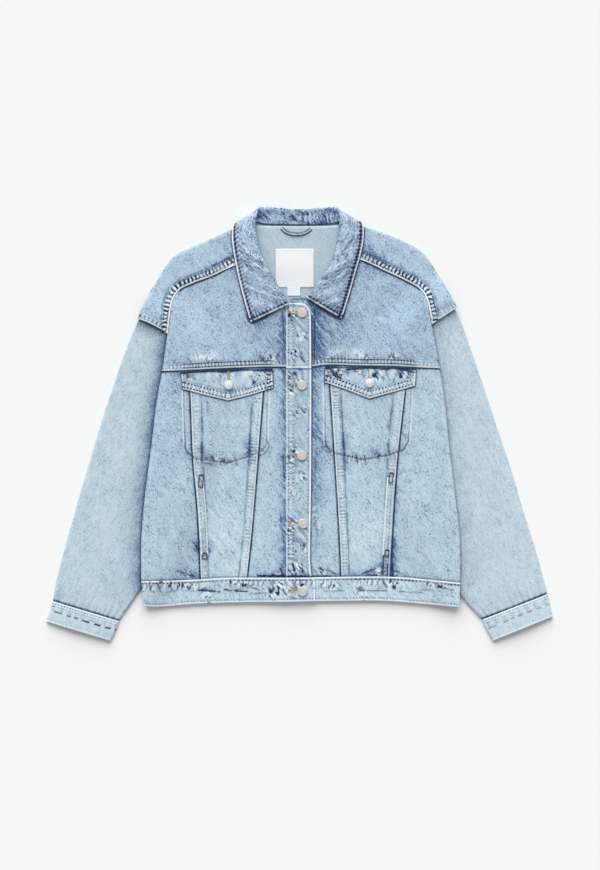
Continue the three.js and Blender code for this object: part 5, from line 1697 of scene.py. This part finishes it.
# Buttons. Columns: x, y, name. Each front button's hole runs to the wearer's right of it.
FRONT_BUTTONS = [(4.5, 178, "front_button_1"), (4, 62, "front_button_2"), (3.8, -50.5, "front_button_3"),
                 (6, -159.5, "front_button_4"), (5, -268, "front_button_5")]
FLAP_BUTTONS = [(-113.5, 62.5, "flap_button_right"), (112, 65.5, "flap_button_left")]


def lathe(name, profile, centre, material, segments=48, tilt=(0.02, -0.03)):
    """A turned piece that leans a little. profile: radius and height, from its underside to the middle."""
    profile = np.array(profile, float)
    angles = np.linspace(0, 2 * math.pi, segments, endpoint=False)[None]
    x = profile[:, :1] * np.cos(angles)
    y = profile[:, :1] * np.sin(angles)
    z = profile[:, 1:] + x * tilt[0] + y * tilt[1]
    points = (np.dstack([x, y, z]) + centre).reshape(-1, 3)
    first = np.arange(segments)
    last = first + (len(profile) - 1) * segments
    return make_mesh(name, points, [*ring_faces(len(profile), segments), first[::-1], last], None, material)


# Profile of a tack button. Columns: share of its radius; height.
BUTTON_PROFILE = [
    (0.80, 0.0), (0.96, 0.35), (1.0, 1.0), (0.99, 1.7), (0.95, 2.3), (0.89, 2.66), (0.82, 2.74), (0.76, 2.66),
    (0.70, 2.6), (0.6, 2.64), (0.4, 2.74), (0.2, 2.8), (0.04, 2.82),
]


def make_buttons():
    """Tack buttons, smaller and more domed on the flaps."""
    for kind, buttons, radius, dome in (
        ("button", FRONT_BUTTONS, 7.9, 0.0),
        ("flap_button", FLAP_BUTTONS, 7.2, 0.35),
    ):
        profile = [(radius * share, z + dome * (1 - share ** 2)) for share, z in BUTTON_PROFILE]
        for x, y, name in buttons:
            low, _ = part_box(name)
            piece = lathe("metal_" + name, profile, (x, y, low[2] / MM), MATERIAL[kind])
            finish_piece(piece, name)


# A bar of thread, thick in its middle. Columns: share of its length; share of its radius.
BAR_RINGS = [(0.0, 0.4), (0.22, 1.0), (0.78, 1.0), (1.0, 0.4)]


class Thread:
    """Rows of thread, each a run of small rounded bars, joined in one mesh."""

    def __init__(self):
        self.points = []
        self.faces = []

    def bar(self, a, b, radius, sides=5):
        a, b = np.array(a, float), np.array(b, float)
        way = b - a
        size = np.linalg.norm(way)
        if size < 0.05:
            return
        way /= size
        side = np.cross(way, (0, 0, 1))
        side /= max(np.linalg.norm(side), 1e-9)
        up = np.cross(side, way)
        angle = np.linspace(0, 2 * math.pi, sides, endpoint=False)[:, None]
        start = sum(len(p) for p in self.points)
        rings = []
        for t, swell in BAR_RINGS:
            centre = a + way * size * t - np.array([0, 0, radius * 1.3 * (1 - swell)])
            rings.append(centre + radius * swell * (np.cos(angle) * side + np.sin(angle) * up))
        self.points.append(np.vstack(rings))
        self.faces.extend(start + ring_faces(len(rings), sides))
        self.faces.append(start + np.arange(sides)[::-1])
        self.faces.append(start + (len(rings) - 1) * sides + np.arange(sides))

    def row(self, line, surface, pitch=3.3, stitch=2.3, radius=0.34, lift=0.12):
        line = np.asarray(line, float)
        length = length_along(line)[-1]
        starts = (np.arange(max(1, int(length / pitch))) + 0.5) * pitch - stitch / 2
        a, b = (at_shares(line, np.clip(at / length, 0, 1)) for at in (starts, starts + stitch))
        za, zb = (surface(ends[:, 0], ends[:, 1]) + lift for ends in (a, b))
        for p, q, zp, zq in zip(a, b, za, zb):
            self.bar((*p, zp), (*q, zq), radius)

    def make(self, name, material, slot="denim"):
        piece = make_mesh(name, np.vstack(self.points), self.faces, None, MATERIAL[material])
        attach(piece, "root")


def beside(line, distance):
    """A line moved sideways; positive is to the left of its direction."""
    line = np.asarray(line, float)
    way = np.gradient(line, axis=0)
    way /= np.maximum(np.linalg.norm(way, axis=1, keepdims=True), 1e-9)
    return line + np.stack([-way[:, 1], way[:, 0]], -1) * distance


# How far each seam's two rows of stitching are from its edge, and how high a seam's layers lift them
YOKE_ROWS = (2.0, 9.8)
ARMHOLE_ROWS = (2.0, 7.3)
CHEST_ROWS = (2.0, 8.3)
TAPER_ROWS = (2.0, 12.3)
FLAP_ROWS = (2.2, 7.8)
SEAM_LIFT = 0.62
FLAP_SEAM_LIFT = FLAP_LIFT + 0.45
EDGE_LIFT = 0.1


def make_stitches():
    thread = Thread()
    for side, sign, front_edge in (("Right", 1, "placketInner"), ("Left", -1, "leftFrontEdge")):
        top = SURFACE[side.lower()]
        rows = [(CURVE["yokeSeam" + side], -sign, YOKE_ROWS, plus(front_top, SEAM_LIFT)),
                (CURVE["armhole" + side], sign, ARMHOLE_ROWS, plus(front_top, SEAM_LIFT))]
        chest = run_between(CURVE["chestSeam"], crossing(CURVE["chestSeam"], CURVE["body" + side]),
                            crossing(CURVE["chestSeam"], CURVE[front_edge]))
        rows.append((chest[::sign], 1, CHEST_ROWS, plus(top, SEAM_LIFT)))
        for kind, way in (("taperOuter", -sign), ("taperInner", sign)):
            edge = upright(CURVE[kind + side])
            edge = edge[(edge[:, 1] > -244) & (edge[:, 1] < 84)]
            rows.append((edge, way, TAPER_ROWS, plus(top, SEAM_LIFT)))
        bag = smooth(BAGS[side.lower()][1:-1], 6)
        rows.append((bag, 1, (0,), plus(top, EDGE_LIFT)))
        rows.append((FLAP_LINE[side.lower()], 1, FLAP_ROWS, plus(top, FLAP_SEAM_LIFT)))
        for line, way, distances, surface in rows:
            for distance in distances:
                thread.row(beside(line, way * distance), surface)
    thread.make("seam_stitches", "thread")
    thread = Thread()
    right = upright(CURVE["placketEdge"])
    right = right[right[:, 1] > -244]
    thread.row(beside(right, 3.4), plus(placket_top, EDGE_LIFT))
    thread.row([(-18.6, -244), (-18.6, 190)], plus(placket_top, EDGE_LIFT))
    for low, high, surface in ((-250, 20, right_band_top), (28, 254, left_band_top)):
        for name, inwards in (("hem", 3.4), ("waistSeam", -2.8)):
            line = CURVE[name]
            line = line[(line[:, 0] > low) & (line[:, 0] < high)]
            thread.row(beside(line, inwards), plus(surface, EDGE_LIFT))
    thread.make("edge_stitches", "thread")


def make_buttonholes():
    """Buttonholes edged in ochre thread, and the hand pockets' dark bar tacks with one ochre stitch each."""
    hole = Thread()
    for x, y, name in FRONT_BUTTONS:
        surface = right_band_top if name == "front_button_5" else placket_top
        x0, x1 = x - 22.5, x - 8.0
        for px in np.linspace(x0, x1, 15):
            z = height_at(surface, px, y) + 0.6
            for sign in (1, -1):
                hole.bar((px, y + 1.2 + sign * 0.5, z), (px + 0.25, y + 1.2 + sign * 2.4, z - 0.05), 0.48)
        for px in x0 - 0.6 + 0.45 * np.arange(4):
            z = height_at(surface, px, y) + 0.7
            hole.bar((px, y - 1.4, z), (px, y + 3.6, z), 0.4)
    for x, y, _ in FLAP_BUTTONS:
        surface = plus(right_top if x < 0 else front_top, FLAP_LIFT)
        y0, y1 = y + 7.5, y + 19.5
        for py in np.linspace(y0, y1, 13):
            z = height_at(surface, x, py) + 0.4
            for sign in (1, -1):
                hole.bar((x + sign * 0.35, py, z), (x + sign * 2.0, py + 0.2, z - 0.05), 0.42)
        for py in y1 + 0.2 + 0.45 * np.arange(4):
            z = height_at(surface, x, py) + 0.45
            hole.bar((x - 2.3, py, z), (x + 2.3, py, z), 0.4)
    hole.make("buttonholes", "ochre")
    tacks, ends = Thread(), Thread()
    for x, y, wide, tall, lean, surface in WELT_TACKS:
        surface = plus(surface, 2.1)
        for py in y - tall / 2 + 0.55 * np.arange(int(tall / 0.55)):
            at = x + lean * (py - y)
            for middle in (-wide / 2, wide / 2):
                start, stop = at + middle - 0.8, at + middle + 0.8
                z = height_at(surface, start, py)
                tacks.bar((start, py, z), (stop, py + 0.15, z), 0.5)
        for py in (y - tall / 2, y + tall / 2):
            for k in range(4):
                line = py - 0.9 + 0.55 * k
                at = x + lean * (line - y)
                z = height_at(surface, at, line)
                bars = ends if k == 1 and py < y else tacks
                bars.bar((at - wide / 2, line, z), (at + wide / 2, line, z), 0.4)
    tacks.make("bar_tacks", "dark_thread")
    ends.make("bar_tack_ends", "ochre")


# Stitched rectangles at the hand pockets' ends. Columns: x, y; width; height; lean; surface below.
WELT_TACKS = [
    (-157.5, -91, 6.5, 19, 0.06, right_top), (-151.5, -211, 6.5, 9, 0.06, right_top),
    (146.5, -86, 6, 15, 0.1, front_top), (140, -206, 6, 9, 0.06, front_top),
]


def make_neck():
    """The blank labels and the hanger loop inside the back of the neck."""
    for name, edges in (
        ("label_main", rectangle(-38, 219, 22.5, 280)),
        ("label_size", rectangle(-19, 205.5, 1, 218.8)),
    ):
        panel(name, edges, plus(back_top, LABEL_LIFT), {}, material="label", step=3.0,
              drop=0.8)
    # The hanger loop is a narrow strip that stands a little off the cloth in its middle
    line = smooth([(-29, 314), (-21, 307), (-6, 303.5), (9, 306), (19, 312.5)])
    outer, inner = beside(line, -1.9), beside(line, 1.9)
    edges = {"bottom": outer, "top": inner, "left": np.array([outer[0], inner[0]]),
             "right": np.array([outer[-1], inner[-1]])}

    def over(x, y):
        return back_top(x, y) + 1.6 + 0.9 * bump_at(x, -5, 14)

    def rim(d, _):
        zero = np.zeros(np.shape(d))
        return zero, 0.45 * bump_at(d, 2.0, 0.6), 0.75 * ramp(d, 1.2, 0.5), zero

    panel("hanger_loop", edges, over, {"bottom": rim, "top": rim}, seed=405, step=1.0, drop=1.1,
          tone=0.35)
    trim = Thread()
    low_left, high_left, high_right, low_right = (-36.8, 220.2), (-36.8, 278.8), (21.3, 278.8), (21.3, 220.2)
    for run in ((high_left, high_right), (low_left, high_left), (low_right, high_right)):
        trim.row(run, plus(back_top, LABEL_LIFT + 0.05), 2.4, 1.6, 0.22)
    trim.make("label_stitches", "label", slot="label")


# Floor, light and camera
CAMERA_HEIGHT = 6.0
PIXEL_MM = 1.6
PHOTO_WIDTH, PHOTO_HEIGHT = 600, 870
CENTRE_PX = (299.5, 424.0)


FLOOR_TONE = 0.86
SKY_STRENGTH = 0.42
SUN_STRENGTH = 3.71
SUN_FROM = (-0.12, 1.0, 0.68)
SUN_WIDTH = math.radians(58)


def look_at(origin, target=(0, 0, 0)):
    return (Vector(target) - Vector(origin)).to_track_quat("-Z", "Y").to_euler()


def make_stage():
    far = 4000
    corners = [(-far, -far, -0.4), (far, -far, -0.4), (far, far, -0.4), (-far, far, -0.4)]
    floor = make_mesh("floor", corners, [(0, 1, 2, 3)])
    n = Nodes("floor")
    n.shader.inputs["Base Color"].default_value = (FLOOR_TONE, FLOOR_TONE, FLOOR_TONE, 1)
    n.shader.inputs["Roughness"].default_value = 0.95
    n.shader.inputs["Specular IOR Level"].default_value = 0.0
    floor.data.materials.append(n.material)
    world = bpy.data.worlds.new("studio")
    bpy.context.scene.world = world
    world.use_nodes = True
    background = world.node_tree.nodes["Background"]
    background.inputs[0].default_value = (1.0, 1.0, 1.0, 1)
    background.inputs[1].default_value = SKY_STRENGTH
    light = bpy.data.lights.new("key", "SUN")
    light.energy = SUN_STRENGTH
    light.angle = SUN_WIDTH
    lamp = bpy.data.objects.new("key", light)
    bpy.context.scene.collection.objects.link(lamp)
    lamp.location = tuple(2 * v for v in SUN_FROM)
    lamp.rotation_euler = look_at(SUN_FROM)


def make_camera():
    camera = bpy.data.cameras.new("camera")
    holder = bpy.data.objects.new("camera", camera)
    bpy.context.scene.collection.objects.link(holder)
    shift_x = (PHOTO_WIDTH / 2 - CENTRE_PX[0]) * PIXEL_MM * MM
    shift_y = (CENTRE_PX[1] - PHOTO_HEIGHT / 2) * PIXEL_MM * MM
    holder.location = (shift_x, shift_y, CAMERA_HEIGHT)
    camera.sensor_fit = "VERTICAL"
    camera.sensor_height = 24.0
    seen = PHOTO_HEIGHT * PIXEL_MM * MM
    camera.lens = camera.sensor_height * (CAMERA_HEIGHT - 0.008) / seen
    camera.clip_end = 50
    bpy.context.scene.camera = holder
    scene = bpy.context.scene
    scene.view_settings.view_transform = "Standard"
    scene.view_settings.look = "None"
    scene.view_settings.exposure = 0.0
    scene.view_settings.gamma = 1.0


make_camera()
make_back()
make_bags()
make_sleeves()
make_fronts()
make_chest()
make_yoke()
make_placket()
make_bands()
make_flaps()
make_welts()
make_collar()
make_neck()
make_buttons()
make_stitches()
make_buttonholes()
make_stage()
